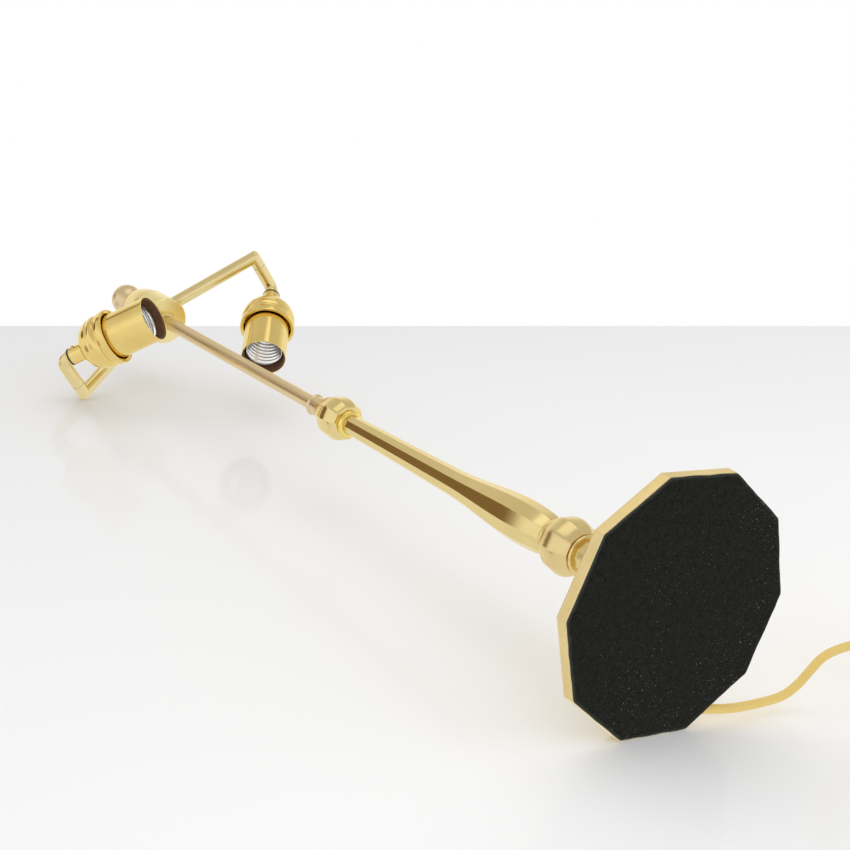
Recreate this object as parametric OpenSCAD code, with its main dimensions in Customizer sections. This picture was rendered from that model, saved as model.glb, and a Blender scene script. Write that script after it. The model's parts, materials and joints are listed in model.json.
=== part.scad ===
// Two-light swing arm desk lamp: a ten-sided brass stand, a rod that slides in its column,
// and a turning hub with two cranked arms that carry bulb sockets on elbow swivels.
// Origin: stem axis at the underside of the felt, +Z up, the cord leaves towards +Y.

/* [Foot] */
// Width of the foot across its corners
foot_d = 150; // [130:1:180]
// Height of the upright rim, from the table
rim_h = 8.4; // [7:0.1:14]
// Height of the foot from the table to its top bead
foot_h = 74.5; // [60:0.5:95]
// Radius of the round neck at the top of the foot
foot_neck_r = 9.2; // [8:0.1:11]
// Wall of the hollow foot
foot_wall = 2.2; // [1.5:0.1:3]
// Thickness of the felt
felt_t = 2; // [1.5:0.1:2.4]
// How far the felt stands below the brass
felt_proud = 1.2; // [0.6:0.1:2]
// Width of the bright lip round the felt
lip_w = 1.1; // [0.8:0.1:2.5]
// Thickness of the iron weight inside the foot
weight_t = 10; // [6:0.5:14]

/* [Stand] */
// Radius of the faceted ball, at its corners
ball_r = 17; // [15:0.5:20]
// Radius of the flats where the ball meets its beads
ball_flat_r = 12.2; // [11.5:0.1:13]
// Height of the bead under the ball
foot_bead_h = 2.6; // [2:0.1:4]
// Height of the bead over the ball
ball_bead_h = 3; // [2:0.1:4]
// Length of the tapered column
column_len = 207; // [190:1:260]
// Widest radius of the column, at its corners
column_r = 13.3; // [12:0.1:16]
// Radius of the column at its top, at its corners
column_top_r = 6.7; // [6.5:0.1:8]
// Height of the round ring over the column
column_ring_h = 4; // [3:0.1:6]
// Radius of that ring
column_ring_r = 9; // [8.6:0.1:10]
// Height of the faceted knop
knop_h = 30; // [26:0.5:40]
// Radius of the faceted knop, at its corners
knop_r = 14.4; // [13:0.1:18]
// Height of the clamp collar over the knop
clamp_h = 11.5; // [9:0.5:16]
// Radius of the clamp collar
clamp_r = 6.8; // [6.5:0.1:8]

/* [Rod] */
// Diameter of the sliding rod
rod_d = 9.5; // [8:0.1:9.8]
// Bore of the rod, for the wires
rod_bore_d = 6.5; // [5:0.1:7]
// Length of rod that shows between the clamp collar and the hub
rod_show = 218; // [180:1:260]
// Length of rod hidden in the column
rod_hidden = 72; // [50:1:90]
// How far the rod can slide down from here
rod_travel = 120; // [60:5:130]
// Radial clearance round every turning or sliding piece
run_fit = 0.05; // [0.02:0.01:0.09]

/* [Hub] */
// Radius of the hub
hub_r = 17.5; // [16:0.1:21]
// Height of the hub's straight side
hub_side_h = 24; // [21:0.5:32]
// Height of the dome above the side
dome_h = 27; // [22:0.5:36]
// Wall of the hub
hub_wall = 2.4; // [1.8:0.1:3]
// Radius of the ball finial
finial_r = 11.8; // [9:0.1:15]
// Height of the finial's neck
finial_neck_h = 5; // [4:0.5:9]
// Turn of the head on the rod, from the X axis
head_turn = -2.7; // [-30:0.1:30]

/* [Arms] */
// Diameter of the arm tubes
arm_d = 9.5; // [9:0.1:11]
// Distance from the stem axis to the elbow
arm_reach = 83.7; // [75:0.1:110]
// Droop of the arm below level
arm_droop = 18.5; // [10:0.5:22]
// Length from the elbow to the corner over the socket
crank_len = 31.5; // [28:0.5:45]
// Lean of the socket away from the elbow
socket_lean = 5; // [0:0.5:8]
// Angle of the right socket below level
right_tip = 48.6; // [30:0.1:90]
// Angle of the left socket below level
left_tip = 37.7; // [30:0.1:90]

/* [Sockets] */
// Distance from the crank's corner to the mouth of the socket
mouth_reach = 80; // [76:0.5:95]
// Radius of the socket's brass shell
shell_r = 16.6; // [16.2:0.1:18]
// Wall of the shell and the cap
shell_wall = 0.6; // [0.5:0.1:1]
// How far the cap's lower bead stands out from the shell
cap_over = 4; // [3.6:0.1:5]
// Length of the cap's neck
neck_len = 10; // [8:0.5:12]
// Radius of the cap's neck
neck_r = 6.4; // [6:0.1:7]
// Inner radius of the bulb's screw shell
screw_r = 13; // [12.9:0.1:13.3]
// Pitch of the bulb's thread
screw_pitch = 3.6; // [3:0.1:4]

/* [Cord] */
// Diameter of the cloth covered cord
cord_d = 5.2; // [4.6:0.1:5.4]

/* [Hidden] */
sides = 10;
face_turn = 90 - 180 / sides;
apothem = cos(180 / sides);
smooth = 96;

// Wire passage and fasteners of the stand
stem_d = 9.6;
stem_bore_d = 6.6;
stem_hole_r = stem_d / 2 + 0.1;
nut_r = 8;
nut_h = 4;
washer_h = 1.5;
washer_r = nut_r + 2;
grub_r = 1.5;

// The foot's shell and flare
foot_r = foot_d / 2;
rim_draft = 0.9;
rim_wall = 2.8;
rim_in_r = foot_r - rim_wall;
step_w = 3.2;
flare_z0 = rim_h + 0.8;
flare_z1 = foot_h - 13;
flare_r0 = foot_r - 4.8;
flare_r1 = foot_neck_r + 1.6;
flare_power = 2.4;
flare_steps = 15;
neck_solid = 8;
weight_z = felt_t + 0.1;
seat_depth = 7;

// Heights up the stand
foot_bead_top = foot_h + foot_bead_h;
ball_drop = sqrt(ball_r * ball_r - ball_flat_r * ball_flat_r);
ball_angle = asin(ball_drop / ball_r);
ball_z = foot_bead_top + ball_drop;
ball_top = ball_z + ball_drop;
ball_screw_z = ball_z - 9;
ball_screw_turn = -60;
bead_r = 11.5;
column_z = ball_top + ball_bead_h;
column_top = column_z + column_len;
knop_z = column_top + column_ring_h;
knop_top = knop_z + knop_h;
clamp_top = knop_top + clamp_h;
knop_foot_r = column_ring_r + 0.6;
knop_head_r = clamp_r + 0.8;

// The column's outline: a round shoulder, a full belly, then a long taper
column_end_r = 10.3;
shoulder_z = 28;
waist_len = 66;
waist_share = 0.5;

// Bores that hold the rod
rod_r = rod_d / 2;
slide_r = rod_r + run_fit;
column_bore_r = rod_r + 0.55;
column_well_z = column_z + 18;
rod_end_z = clamp_top - rod_hidden;
stop_h = 8;
stop_r = column_bore_r - run_fit;
guide_h = 14;
guide_r = column_bore_r + 0.35;
guide_flange_h = 1.2;
guide_flange_r = 6.6;
stem_z = weight_z + 0.8;
stem_len = column_well_z - stem_z;

// Heights up the head
hub_z = clamp_top + rod_show;
hub_side_top = hub_z + hub_side_h;
dome_top = hub_side_top + dome_h;
dome_top_r = 8.4;
finial_z = dome_top + finial_neck_h + finial_r * 0.92;
finial_screw_r = 3.5;
arm_axis_z = hub_z + 20;
elbow_z = arm_axis_z - arm_reach * tan(arm_droop);
hub_floor = 3;
bush_flange_h = 1.2;
bush_r = rod_r + 1.9;
bush_flange_r = 8;
clip_h = 1.6;
rod_top_z = hub_z + hub_floor + 6;

// Arms and elbows
arm_r = arm_d / 2;
arm_wall = 1.2;
arm_len = arm_reach / cos(arm_droop);
arm_seat_r = hub_r - 3;
elbow_stub = 8;
elbow_sides = 48;
corner_cut = arm_r + 0.4;
knuckle_len = 8;
pivot_r = arm_r - arm_wall - 0.35;
pivot_bore_r = pivot_r - 1;
pivot_start = 2;
pivot_out = 7;
washer_t = 0.5;
crank_start = knuckle_len + washer_t;
crank_bore_r = pivot_bore_r;
corner_r = 6;
stub_len = corner_r;
ring_len = 2;
gap_len = 0.6;
neck_start = stub_len + ring_len + gap_len;
nipple_r = 3.4;
nipple_bore_r = 2;

// Sockets, measured from the crank's corner along the socket
cap_start = neck_start + neck_len;
skirt_end = cap_start + 25;
shell_start = cap_start + 9;
cap_r = shell_r + cap_over;
liner_r = shell_r - shell_wall - 0.1;
liner_wall = 0.7;
core_start = shell_start + 3;
core_end = core_start + 14;
core_r = liner_r - liner_wall - 0.1;
screw_start = core_end + 0.1;
screw_end = mouth_reach - 3;
screw_wall = 0.35;
thread_depth = 0.55;
contact_r = 4;
terminal_out = 9.5;
terminal_r = 1.6;
terminal_len = 6;

// Where the cord leaves the rim, and the eyelet that it passes
cord_r = cord_d / 2;
exit_x = -9.5;
exit_y = foot_r * apothem;
exit_z = 4.95;
exit_turn = 42;
bushing_r = 2.85;
bushing_out = 3;
clamp_w = 12;
clamp_len = 12;
clamp_tall = 8;
clamp_back = 30;

// Cord on the table: a stretch in sight, a round coil, then a tail to the plug. Each step of
// the way gives X and Y from the exit, and the share of the exit's height that is left there
cord_sides = 10;
cord_rings = 46;
tail_rings = 16;
lie_z = cord_r + 0.05;
way = [
    [0.7, 0.57, 1], [3.7, 3.27, 0.93], [8, 7.07, 0.72], [13.5, 11.67, 0.33], [20.5, 17.07, 0.06],
    [28.5, 22.87, 0], [37.5, 28.87, 0], [46.5, 34.27, 0], [54.5, 37.27, 0],
    [63.5, 37.87, 0], [73.5, 36.47, 0], [82.5, 35.87, 0], [91.5, 38.47, 0],
    [103.5, 45.07, 0], [117.6, 55.17, 0], [131.8, 65.67, 0]
];
route = [for (p = way) [exit_x + p[0], exit_y + p[1], lie_z + p[2] * (exit_z - lie_z)]];
coil_x = exit_x + 170.5;
coil_y = exit_y + 42.37;
coil_out = 44.2;
coil_rows = 5;
coil_layers = 2;
coil_w = coil_rows * cord_d;
coil_h = coil_layers * cord_d;
tie_w = 7;
tie_t = 1;
tie_gap = 0.5;
tie_turn = -110;
plug_h = 15;
plug_w = 26;
plug_len = 28;
plug_neck_len = 20;
plug_neck_r = 5.6;
blade_pitch = 12.7;
blade_w = 6.35;
blade_t = 1.5;
tail_x = coil_x + coil_out - 1.5 * cord_d;
tail_top = coil_h - cord_r;
tail_len = 32;
plug_sunk = 4;
tail_route = [for (u = [0:0.25:1])
    [tail_x, coil_y - tail_len * u, tail_top + (plug_h / 2 - tail_top) * u * u]];
plug_turn = -90;

// ---------------------------------------------------------------- helpers

// A turned solid: an outline of [radius, height] points spun round Z
module turned(outline) {
    rotate_extrude($fn = smooth) polygon(outline);
}

// The same outline with flat sides, its radii measured at the corners
module faceted(outline) {
    rotate([0, 0, face_turn]) rotate_extrude($fn = sides) polygon(outline);
}

// A plain ring or disc, bored when bore is not 0
module ring(r, h, z = 0, bore = 0) {
    translate([0, 0, z]) difference() {
        cylinder(r = r, h = h, $fn = smooth);
        if (bore > 0) translate([0, 0, -1]) cylinder(r = bore, h = h + 2, $fn = smooth);
    }
}

// A half round bead on a bored ring
module bead(r, h, z, bore) {
    bulge = h / 2;
    arc = [for (a = [-90:15:90]) [r - bulge + bulge * cos(a), z + bulge + bulge * sin(a)]];
    turned(concat([[bore, z]], arc, [[bore, z + h]]));
}

// Radius of the flared foot, at its corners, at height z
function flare_u(z) = (z - flare_z0) / (flare_z1 - flare_z0);
function flare_r(z) = flare_r1 + (flare_r0 - flare_r1) * pow(1 - flare_u(z), flare_power);
function flare_at(i) = flare_z0 + (flare_z1 - flare_z0) * i / flare_steps;

// Radius of the column, at its corners, at height z above its foot: a rounded shoulder
// up to the belly, then a mix of a quick waist and a slow taper
function belly(z) = (column_r - column_end_r) * sqrt(1 - pow(1 - z / shoulder_z, 2));
function waist(z) = (1 + cos(180 * min(1, (z - shoulder_z) / waist_len))) / 2;
function taper(z) = pow(1 - (z - shoulder_z) / (column_len - shoulder_z), 1.5);
function column_radius(z) = z < shoulder_z
    ? column_end_r + belly(z)
    : column_top_r + (column_r - column_top_r) * (waist_share * waist(z)
        + (1 - waist_share) * taper(z));

// ---------------------------------------------------------------- foot

module felt_pad() {
    r = foot_r - lip_w - 0.1;
    color("#151515") faceted([
        [0, 0], [r - 1.5, 0], [r - 0.6, 0.25], [r - 0.15, 0.8], [r, 1.6], [r, felt_t], [0, felt_t]
    ]);
}

module foot_weight() {
    r = rim_in_r - 0.4;
    gap = foot_wall + 0.5;
    top = weight_z + weight_t;
    slope = [for (z = [4.8:1.5:top]) [min(r, flare_r(max(z + gap, flare_z0)) - gap), z]];
    color("#3c3c3e") difference() {
        faceted(concat([[0, weight_z], [r, weight_z], [r, 4.5]], slope, [[0, top]]));
        translate([0, 0, -1]) cylinder(r = stem_hole_r, h = top + 2, $fn = smooth);
        translate([0, 0, -1]) cylinder(r = washer_r + 0.5, h = weight_z + seat_depth + 1, $fn = smooth);
        translate([exit_x - clamp_w / 2 - 1, 0, -1]) cube([clamp_w + 2, foot_r, top + 2]);
    }
}

module foot_shell() {
    top_r = foot_r - rim_draft;
    roof = flare_z1 - neck_solid;
    outer = [for (i = [0:flare_steps]) [flare_r(flare_at(i)), flare_at(i)]];
    inner = [for (i = [flare_steps:-1:0]) let (z = flare_at(i))
        if (z - foot_wall < roof && z > rim_h + foot_wall) [flare_r(z) - foot_wall, z - foot_wall]];
    color("#d8bd62") difference() {
        union() {
            faceted(concat(
                [[rim_in_r, felt_t], [foot_r - lip_w, felt_t], [foot_r - lip_w, felt_proud],
                 [foot_r - 0.3, felt_proud], [foot_r, felt_proud + 0.4], [top_r, rim_h - 0.4],
                 [top_r - 0.5, rim_h], [top_r - step_w, rim_h], [flare_r0 + 0.6, rim_h + 0.2]],
                outer, [[0, flare_z1], [0, roof], [inner[0][0], roof]],
                inner, [[rim_in_r, rim_h - foot_wall]]));
            turned([[0, flare_z1 - 0.5], [foot_neck_r + 1.9, flare_z1 - 0.5],
                [foot_neck_r + 1.9, flare_z1 + 1.4],
                [foot_neck_r + 0.9, flare_z1 + 2.4], [foot_neck_r, flare_z1 + 4.4],
                [foot_neck_r, foot_h], [0, foot_h]]);
        }
        translate([0, 0, roof - 1]) cylinder(r = stem_hole_r, h = foot_h, $fn = smooth);
        at_cord_exit() translate([0, 0, -12]) cylinder(r = bushing_r, h = 24, $fn = smooth);
    }
}

module stem_nipple() {
    color("#b9a25a") ring(stem_d / 2, stem_len, stem_z, stem_bore_d / 2);
}

module stem_nut() {
    color("#a8a8a4") translate([0, 0, weight_z + seat_depth - washer_h - nut_h]) difference() {
        cylinder(r = nut_r, h = nut_h, $fn = 6);
        translate([0, 0, -1]) cylinder(d = stem_d, h = nut_h + 2, $fn = smooth);
    }
}

module stem_washer() {
    color("#bcbcb8") ring(washer_r, washer_h, weight_z + seat_depth - washer_h, stem_hole_r);
}

// ---------------------------------------------------------------- stand

module foot_bead() {
    color("#d9b64a") bead(bead_r, foot_bead_h, foot_h, stem_hole_r);
}

module ball_bead() {
    color("#d9b64a") bead(bead_r, ball_bead_h, ball_top, stem_hole_r);
}

module lower_ball() {
    arc = [for (a = [-ball_angle:ball_angle / 9:ball_angle + 0.01])
        [ball_r * cos(a), ball_z + ball_r * sin(a)]];
    color("#dcc480") difference() {
        faceted(concat([[0, foot_bead_top]], arc, [[0, ball_top]]));
        translate([0, 0, foot_bead_top - 1])
            cylinder(r = stem_hole_r, h = 2 * ball_drop + 2, $fn = smooth);
        at_ball_screw() cylinder(r = grub_r, h = ball_r, $fn = smooth);
    }
}

module ball_screw() {
    color("#4a3a1c") at_ball_screw() translate([0, 0, stem_d / 2 + 0.1]) difference() {
        cylinder(r = grub_r - 0.05, h = 5, $fn = smooth);
        translate([0, 0, 3.5]) cylinder(r = 0.75, h = 3, $fn = 6);
    }
}

// Radial seat of the ball's grub screw, pointing outward
module at_ball_screw() {
    translate([0, 0, ball_screw_z]) rotate([0, 0, ball_screw_turn]) rotate([0, 90, 0]) children();
}

module column() {
    step = column_len / 46;
    side = [for (i = [0:46]) [column_radius(i * step), column_z + i * step]];
    color("#d6bd66") difference() {
        faceted(concat([[0, column_z]], side, [[0, column_top]]));
        translate([0, 0, column_z - 1]) cylinder(r = stem_hole_r, h = column_len, $fn = smooth);
        translate([0, 0, column_well_z])
            cylinder(r = column_bore_r, h = column_len, $fn = smooth);
        translate([0, 0, column_top - guide_h])
            cylinder(r = guide_r, h = guide_h + 1, $fn = smooth);
    }
}

module column_ring() {
    color("#e8d24c") bead(column_ring_r, column_ring_h, column_top, guide_flange_r + 0.1);
}

module knop() {
    z = knop_z;
    color("#dccb86") difference() {
        faceted([
            [0, z], [knop_foot_r, z], [knop_foot_r + 1.2, z + 0.5], [knop_r - 1.2, z + knop_h * 0.22],
            [knop_r - 0.25, z + knop_h * 0.31], [knop_r, z + knop_h * 0.38],
            [knop_r - 0.25, z + knop_h * 0.45], [knop_r - 1.4, z + knop_h * 0.56],
            [knop_head_r + 1.2, z + knop_h * 0.9], [knop_head_r, z + knop_h], [0, z + knop_h]
        ]);
        translate([0, 0, z - 1]) cylinder(r = column_bore_r, h = knop_h + 2, $fn = smooth);
    }
}

module clamp_collar() {
    z = knop_top;
    lip = clamp_top - 1.6;
    color("#d8bf80") turned([
        [slide_r, z], [clamp_r, z], [clamp_r - 0.2, z + 1], [clamp_r - 0.4, lip - 0.6],
        [clamp_r + 0.1, lip], [clamp_r + 0.5, lip + 0.8], [clamp_r + 0.1, clamp_top],
        [slide_r, clamp_top]
    ]);
}

module rod_guide() {
    z = column_top;
    color("#e6e2d2") turned([
        [slide_r, z - guide_h + 0.3], [guide_r - 0.1, z - guide_h + 0.3], [guide_r - 0.1, z],
        [guide_flange_r, z], [guide_flange_r, z + guide_flange_h], [slide_r, z + guide_flange_h]
    ]);
}

// ---------------------------------------------------------------- cord

// Axis of the cord hole through the rim, Z pointing out of the foot
module at_cord_exit() {
    translate([exit_x, exit_y, exit_z]) rotate([0, 0, exit_turn - 90]) rotate([-90, 0, 0])
        children();
}

module cord_bushing() {
    color("#c9a84e") at_cord_exit() difference() {
        translate([0, 0, -6]) cylinder(r = bushing_r - 0.05, h = 6 + bushing_out, $fn = smooth);
        translate([0, 0, -7]) cylinder(r = cord_r, h = 20, $fn = smooth);
    }
}

module cord_clamp() {
    color("#2c2c2c") translate([exit_x - clamp_w / 2, exit_y - clamp_back, weight_z]) difference() {
        cube([clamp_w, clamp_len, clamp_tall]);
        translate([clamp_w / 2, -1, clamp_tall / 2]) rotate([-90, 0, 0])
            cylinder(r = cord_r + 0.1, h = clamp_len + 2, $fn = smooth);
    }
}

// Catmull-Rom point on a route, u running from 0 to the last point's number
function route_at(path, u) = let (
    n = len(path) - 1, i = min(floor(u), n - 1), t = u - i,
    p0 = path[max(i - 1, 0)], p1 = path[i], p2 = path[i + 1], p3 = path[min(i + 2, n)])
    0.5 * (2 * p1 + (p2 - p0) * t + (2 * p0 - 5 * p1 + 4 * p2 - p3) * t * t
    + (3 * p1 - p0 - 3 * p2 + p3) * t * t * t);
function unit(v) = v / norm(v);
function ring_points(path, u) = let (
    step = 0.05, ahead = route_at(path, min(u + step, len(path) - 1)),
    d = unit(ahead - route_at(path, max(u - step, 0))),
    across = unit(cross(d, [0, 0, 1])), up = cross(across, d))
    [for (k = [0:cord_sides - 1]) let (a = 360 * (k + 0.5) / cord_sides)
        route_at(path, u) + cord_r * (cos(a) * across + sin(a) * up)];

module cord_tube(path, rings) {
    last = rings - 1;
    span = (len(path) - 1) / last;
    points = [for (j = [0:last]) each ring_points(path, j * span)];
    walls = [for (j = [0:last - 1]) for (k = [0:cord_sides - 1]) let (
        a = j * cord_sides + k, b = j * cord_sides + (k + 1) % cord_sides)
        [a, b, b + cord_sides, a + cord_sides]];
    caps = [[for (k = [cord_sides - 1:-1:0]) k],
        [for (k = [0:cord_sides - 1]) last * cord_sides + k]];
    color("#d8b64a") polyhedron(points, concat(walls, caps), convexity = 6);
}

module cord() {
    cord_tube(route, cord_rings);
}

module cord_tail() {
    cord_tube(tail_route, tail_rings);
}

module cord_coil() {
    b = cord_r * 0.9;
    near = coil_out - coil_w;
    top_r = coil_out - cord_d;
    color("#cfae45") translate([coil_x, coil_y, 0]) turned([
        [near + b, 0], [coil_out - b, 0], [coil_out, b], [coil_out, cord_d - b],
        [coil_out - b, cord_d], [top_r, cord_d], [top_r, coil_h - b], [top_r - b, coil_h],
        [near + b, coil_h], [near, coil_h - b], [near, b]
    ]);
}

module cord_tie() {
    near = coil_out - coil_w - tie_gap;
    span = coil_w + 2 * tie_gap;
    color("#2e2a22") translate([coil_x, coil_y, 0]) rotate([0, 0, tie_turn]) difference() {
        translate([near - tie_t, -tie_w / 2, 0]) cube([span + 2 * tie_t, tie_w, coil_h + 0.1 + tie_t]);
        translate([near, -tie_w, -1]) cube([span, 2 * tie_w, coil_h + 1.1]);
    }
}

// Frame of the plug: X towards its blades, on the table beside the coil
module at_plug() {
    translate([tail_x, coil_y - tail_len + plug_sunk, 0]) rotate([0, 0, plug_turn]) children();
}

module plug_body() {
    color("#c9a13c") at_plug() difference() {
        union() {
            translate([0, 0, plug_h / 2]) rotate([0, 90, 0])
                cylinder(r1 = cord_r + 0.8, r2 = plug_neck_r, h = plug_neck_len, $fn = smooth);
            translate([plug_neck_len, -plug_w / 2, 0.1]) cube([plug_len, plug_w, plug_h - 0.2]);
        }
        for (s = [-1, 1]) translate([plug_neck_len + plug_len - 8, s * blade_pitch / 2, plug_h / 2])
            cube([18, blade_t + 0.1, blade_w + 0.1], center = true);
    }
}

module plug_blades() {
    color("#c8b878") at_plug()
        for (s = [-1, 1]) translate([plug_neck_len + plug_len + 4, s * blade_pitch / 2, plug_h / 2])
            cube([24, blade_t, blade_w], center = true);
}

// ---------------------------------------------------------------- rod

module rod() {
    color("#b99a5e") ring(rod_r, rod_top_z - rod_end_z, rod_end_z, rod_bore_d / 2);
}

module rod_stop() {
    color("#b0a070") ring(stop_r, stop_h, rod_end_z + 2, rod_r);
}

module thrust_collar() {
    color("#d3b45e") turned([
        [rod_r, hub_z - 3.2], [bush_r - 0.4, hub_z - 3.2], [bush_r + 0.6, hub_z - 2.4],
        [bush_r + 0.6, hub_z - bush_flange_h - 0.1], [rod_r, hub_z - bush_flange_h - 0.1]
    ]);
}

module hub_clip() {
    color("#9a9a96") ring(rod_r + 2.2, clip_h, hub_z + hub_floor + 0.6, rod_r);
}

// ---------------------------------------------------------------- head

module hub_body() {
    color("#e6d680") difference() {
        turned([
            [bush_r, hub_z], [hub_r - 0.8, hub_z], [hub_r, hub_z + 0.8],
            [hub_r, hub_side_top], [hub_r - hub_wall, hub_side_top],
            [hub_r - hub_wall, hub_z + hub_floor], [bush_r, hub_z + hub_floor]
        ]);
        for (s = [0, 180]) arm_frame(s) cylinder(r = arm_r, h = arm_reach, $fn = smooth);
    }
}

module hub_bush() {
    color("#d8c45c") turned([
        [slide_r, hub_z - bush_flange_h], [bush_flange_r, hub_z - bush_flange_h],
        [bush_flange_r, hub_z], [bush_r, hub_z], [bush_r, hub_z + hub_floor + 0.5],
        [slide_r, hub_z + hub_floor + 0.5]
    ]);
}

// Radius of the dome at the share u of its height
function dome_r(u) = dome_top_r + (hub_r - dome_top_r) * sqrt(1 - pow(u, 1.7));

module hub_dome() {
    outer = [for (u = [0:1 / 16:1.001]) [dome_r(u), hub_side_top + dome_h * u]];
    inner = [for (u = [0.9:-1 / 16:0]) [dome_r(u) - hub_wall, hub_side_top + dome_h * u]];
    spigot_r = hub_r - hub_wall - 0.05;
    color("#d6c07c") turned(concat(
        outer, [[finial_screw_r, dome_top], [finial_screw_r, dome_top - 2.6]], inner,
        [[hub_r - 2 * hub_wall, hub_side_top], [hub_r - 2 * hub_wall, hub_side_top - 2],
         [spigot_r, hub_side_top - 2], [spigot_r, hub_side_top]]));
}

module finial() {
    neck = finial_neck_h;
    start = -asin(0.92);
    arc = [for (i = [0:24]) let (a = start + (90 - start) * i / 24)
        [finial_r * cos(a), finial_z + finial_r * sin(a)]];
    color("#b99e6c") turned(concat(
        [[0, dome_top - 2.6], [finial_screw_r - 0.05, dome_top - 2.6],
         [finial_screw_r - 0.05, dome_top], [6.6, dome_top], [6.9, dome_top + 0.8],
         [6.2, dome_top + 1.6], [4.4, dome_top + 2.6], [4.2, dome_top + neck - 0.6]],
        arc));
}

// Frame of an arm: Z runs out along the arm's axis; turn is 0 for the right arm
module arm_frame(turn) {
    rotate([0, 0, head_turn + turn]) translate([0, 0, arm_axis_z])
        rotate([0, 90 + arm_droop, 0]) children();
}

// Frame of an elbow: X outward, Y along the crank, Z up, origin where the two axes cross
module elbow_frame(turn) {
    rotate([0, 0, head_turn + turn]) translate([arm_reach, 0, elbow_z]) children();
}

// Frame of a crank, turned on the elbow so that its socket points tip below level
module crank_frame(turn, tip) {
    elbow_frame(turn) rotate([0, -tip, 0]) children();
}

// Frame of a socket: Z runs out of its mouth, origin at the crank's corner
module socket_frame(turn, tip) {
    crank_frame(turn, tip) translate([0, crank_len, 0]) rotate([0, 0, -socket_lean])
        rotate([0, -90, 0]) children();
}

module arm_tube(turn) {
    color("#d4b268") arm_frame(turn) translate([0, 0, arm_seat_r]) difference() {
        cylinder(r = arm_r, h = arm_len - elbow_stub - arm_seat_r, $fn = smooth);
        translate([0, 0, -1]) cylinder(r = arm_r - arm_wall, h = arm_reach + 20, $fn = smooth);
    }
}

// A mitred elbow: two round stubs meet on the bisecting plane, the outer corner cut back
module elbow(turn) {
    steps = [0:elbow_sides - 1];
    arm_end = [for (k = steps) elbow_point(360 * k / elbow_sides, [elbow_stub, 0])];
    corner = [for (k = steps) elbow_point(360 * k / elbow_sides, [0, 0])];
    crank_end = [for (k = steps) elbow_point(360 * k / elbow_sides, [0, knuckle_len])];
    walls = [for (j = [0, 1]) for (k = steps) let (
        a = j * elbow_sides + k, b = j * elbow_sides + (k + 1) % elbow_sides)
        [a, b, b + elbow_sides, a + elbow_sides]];
    caps = [[for (k = [elbow_sides - 1:-1:0]) k], [for (k = steps) 2 * elbow_sides + k]];
    color("#e0c982") elbow_frame(turn) difference() {
        polyhedron(concat(arm_end, corner, crank_end), concat(walls, caps), convexity = 4);
        rotate([0, arm_droop, 0]) rotate([0, 0, -45]) translate([corner_cut, -elbow_stub, -elbow_stub])
            cube(2 * elbow_stub);
        rotate([0, 90 + arm_droop, 0]) translate([0, 0, -elbow_stub - 1])
            cylinder(r = arm_r - arm_wall, h = elbow_stub + 1, $fn = smooth);
        rotate([-90, 0, 0]) cylinder(r = pivot_r + run_fit, h = knuckle_len + 1, $fn = smooth);
    }
}

// Point round the elbow's bent tube: along holds the lengths down the arm and down the crank,
// and both are 0 on the mitre, where the two stubs share one outline
function elbow_point(a, along) = let (
    back = along[0] > 0 ? along[0] : -arm_r * cos(a),
    ahead = along[1] > 0 ? along[1] : -arm_r * cos(a),
    up = arm_r * sin(a))
    [up * sin(arm_droop) - back * cos(arm_droop), ahead, back * sin(arm_droop) + up * cos(arm_droop)];

module pivot(turn, tip) {
    color("#a89048") crank_frame(turn, tip) rotate([-90, 0, 0]) translate([0, 0, pivot_start])
        ring(pivot_r, crank_start + pivot_out - pivot_start, 0, pivot_bore_r);
}

module washer(turn, tip) {
    color("#8f8f8a") crank_frame(turn, tip) rotate([-90, 0, 0])
        ring(arm_r - 0.3, washer_t, knuckle_len, pivot_r);
}

module crank(turn, tip) {
    bend = 90 - socket_lean;
    tangent = corner_r * tan(bend / 2);
    color("#dcc578") crank_frame(turn, tip) difference() {
        crank_body(arm_r, bend, tangent, crank_start, stub_len);
        crank_body(crank_bore_r, bend, tangent, crank_start - 1, stub_len + 6);
        rotate([-90, 0, 0]) translate([0, 0, crank_start - 1])
            cylinder(r = pivot_r, h = pivot_out + 1, $fn = smooth);
    }
    color("#f0e29c") socket_frame(turn, tip) translate([0, 0, stub_len])
        turned([[nipple_r, 0], [arm_r + 0.6, 0], [arm_r + 1.1, 0.6], [arm_r + 1.1, ring_len - 0.4],
            [arm_r + 0.7, ring_len], [nipple_r, ring_len]]);
}

// The bent bar of the crank: straight from start, one round corner, then a stub to stop
module crank_body(r, bend, tangent, start, stop) {
    rotate([-90, 0, 0]) translate([0, 0, start])
        cylinder(r = r, h = crank_len - tangent - start, $fn = smooth);
    translate([-corner_r, crank_len - tangent, 0])
        rotate_extrude(angle = bend, $fn = smooth) translate([corner_r, 0]) circle(r, $fn = 48);
    translate([0, crank_len, 0]) rotate([0, 0, -socket_lean]) rotate([0, -90, 0])
        translate([0, 0, tangent]) cylinder(r = r, h = stop - tangent, $fn = smooth);
}

module nipple(turn, tip) {
    color("#b7a25a") socket_frame(turn, tip)
        ring(nipple_r, neck_start + neck_len - 1 - stub_len, stub_len, nipple_bore_r);
}

// ---------------------------------------------------------------- sockets

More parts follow.
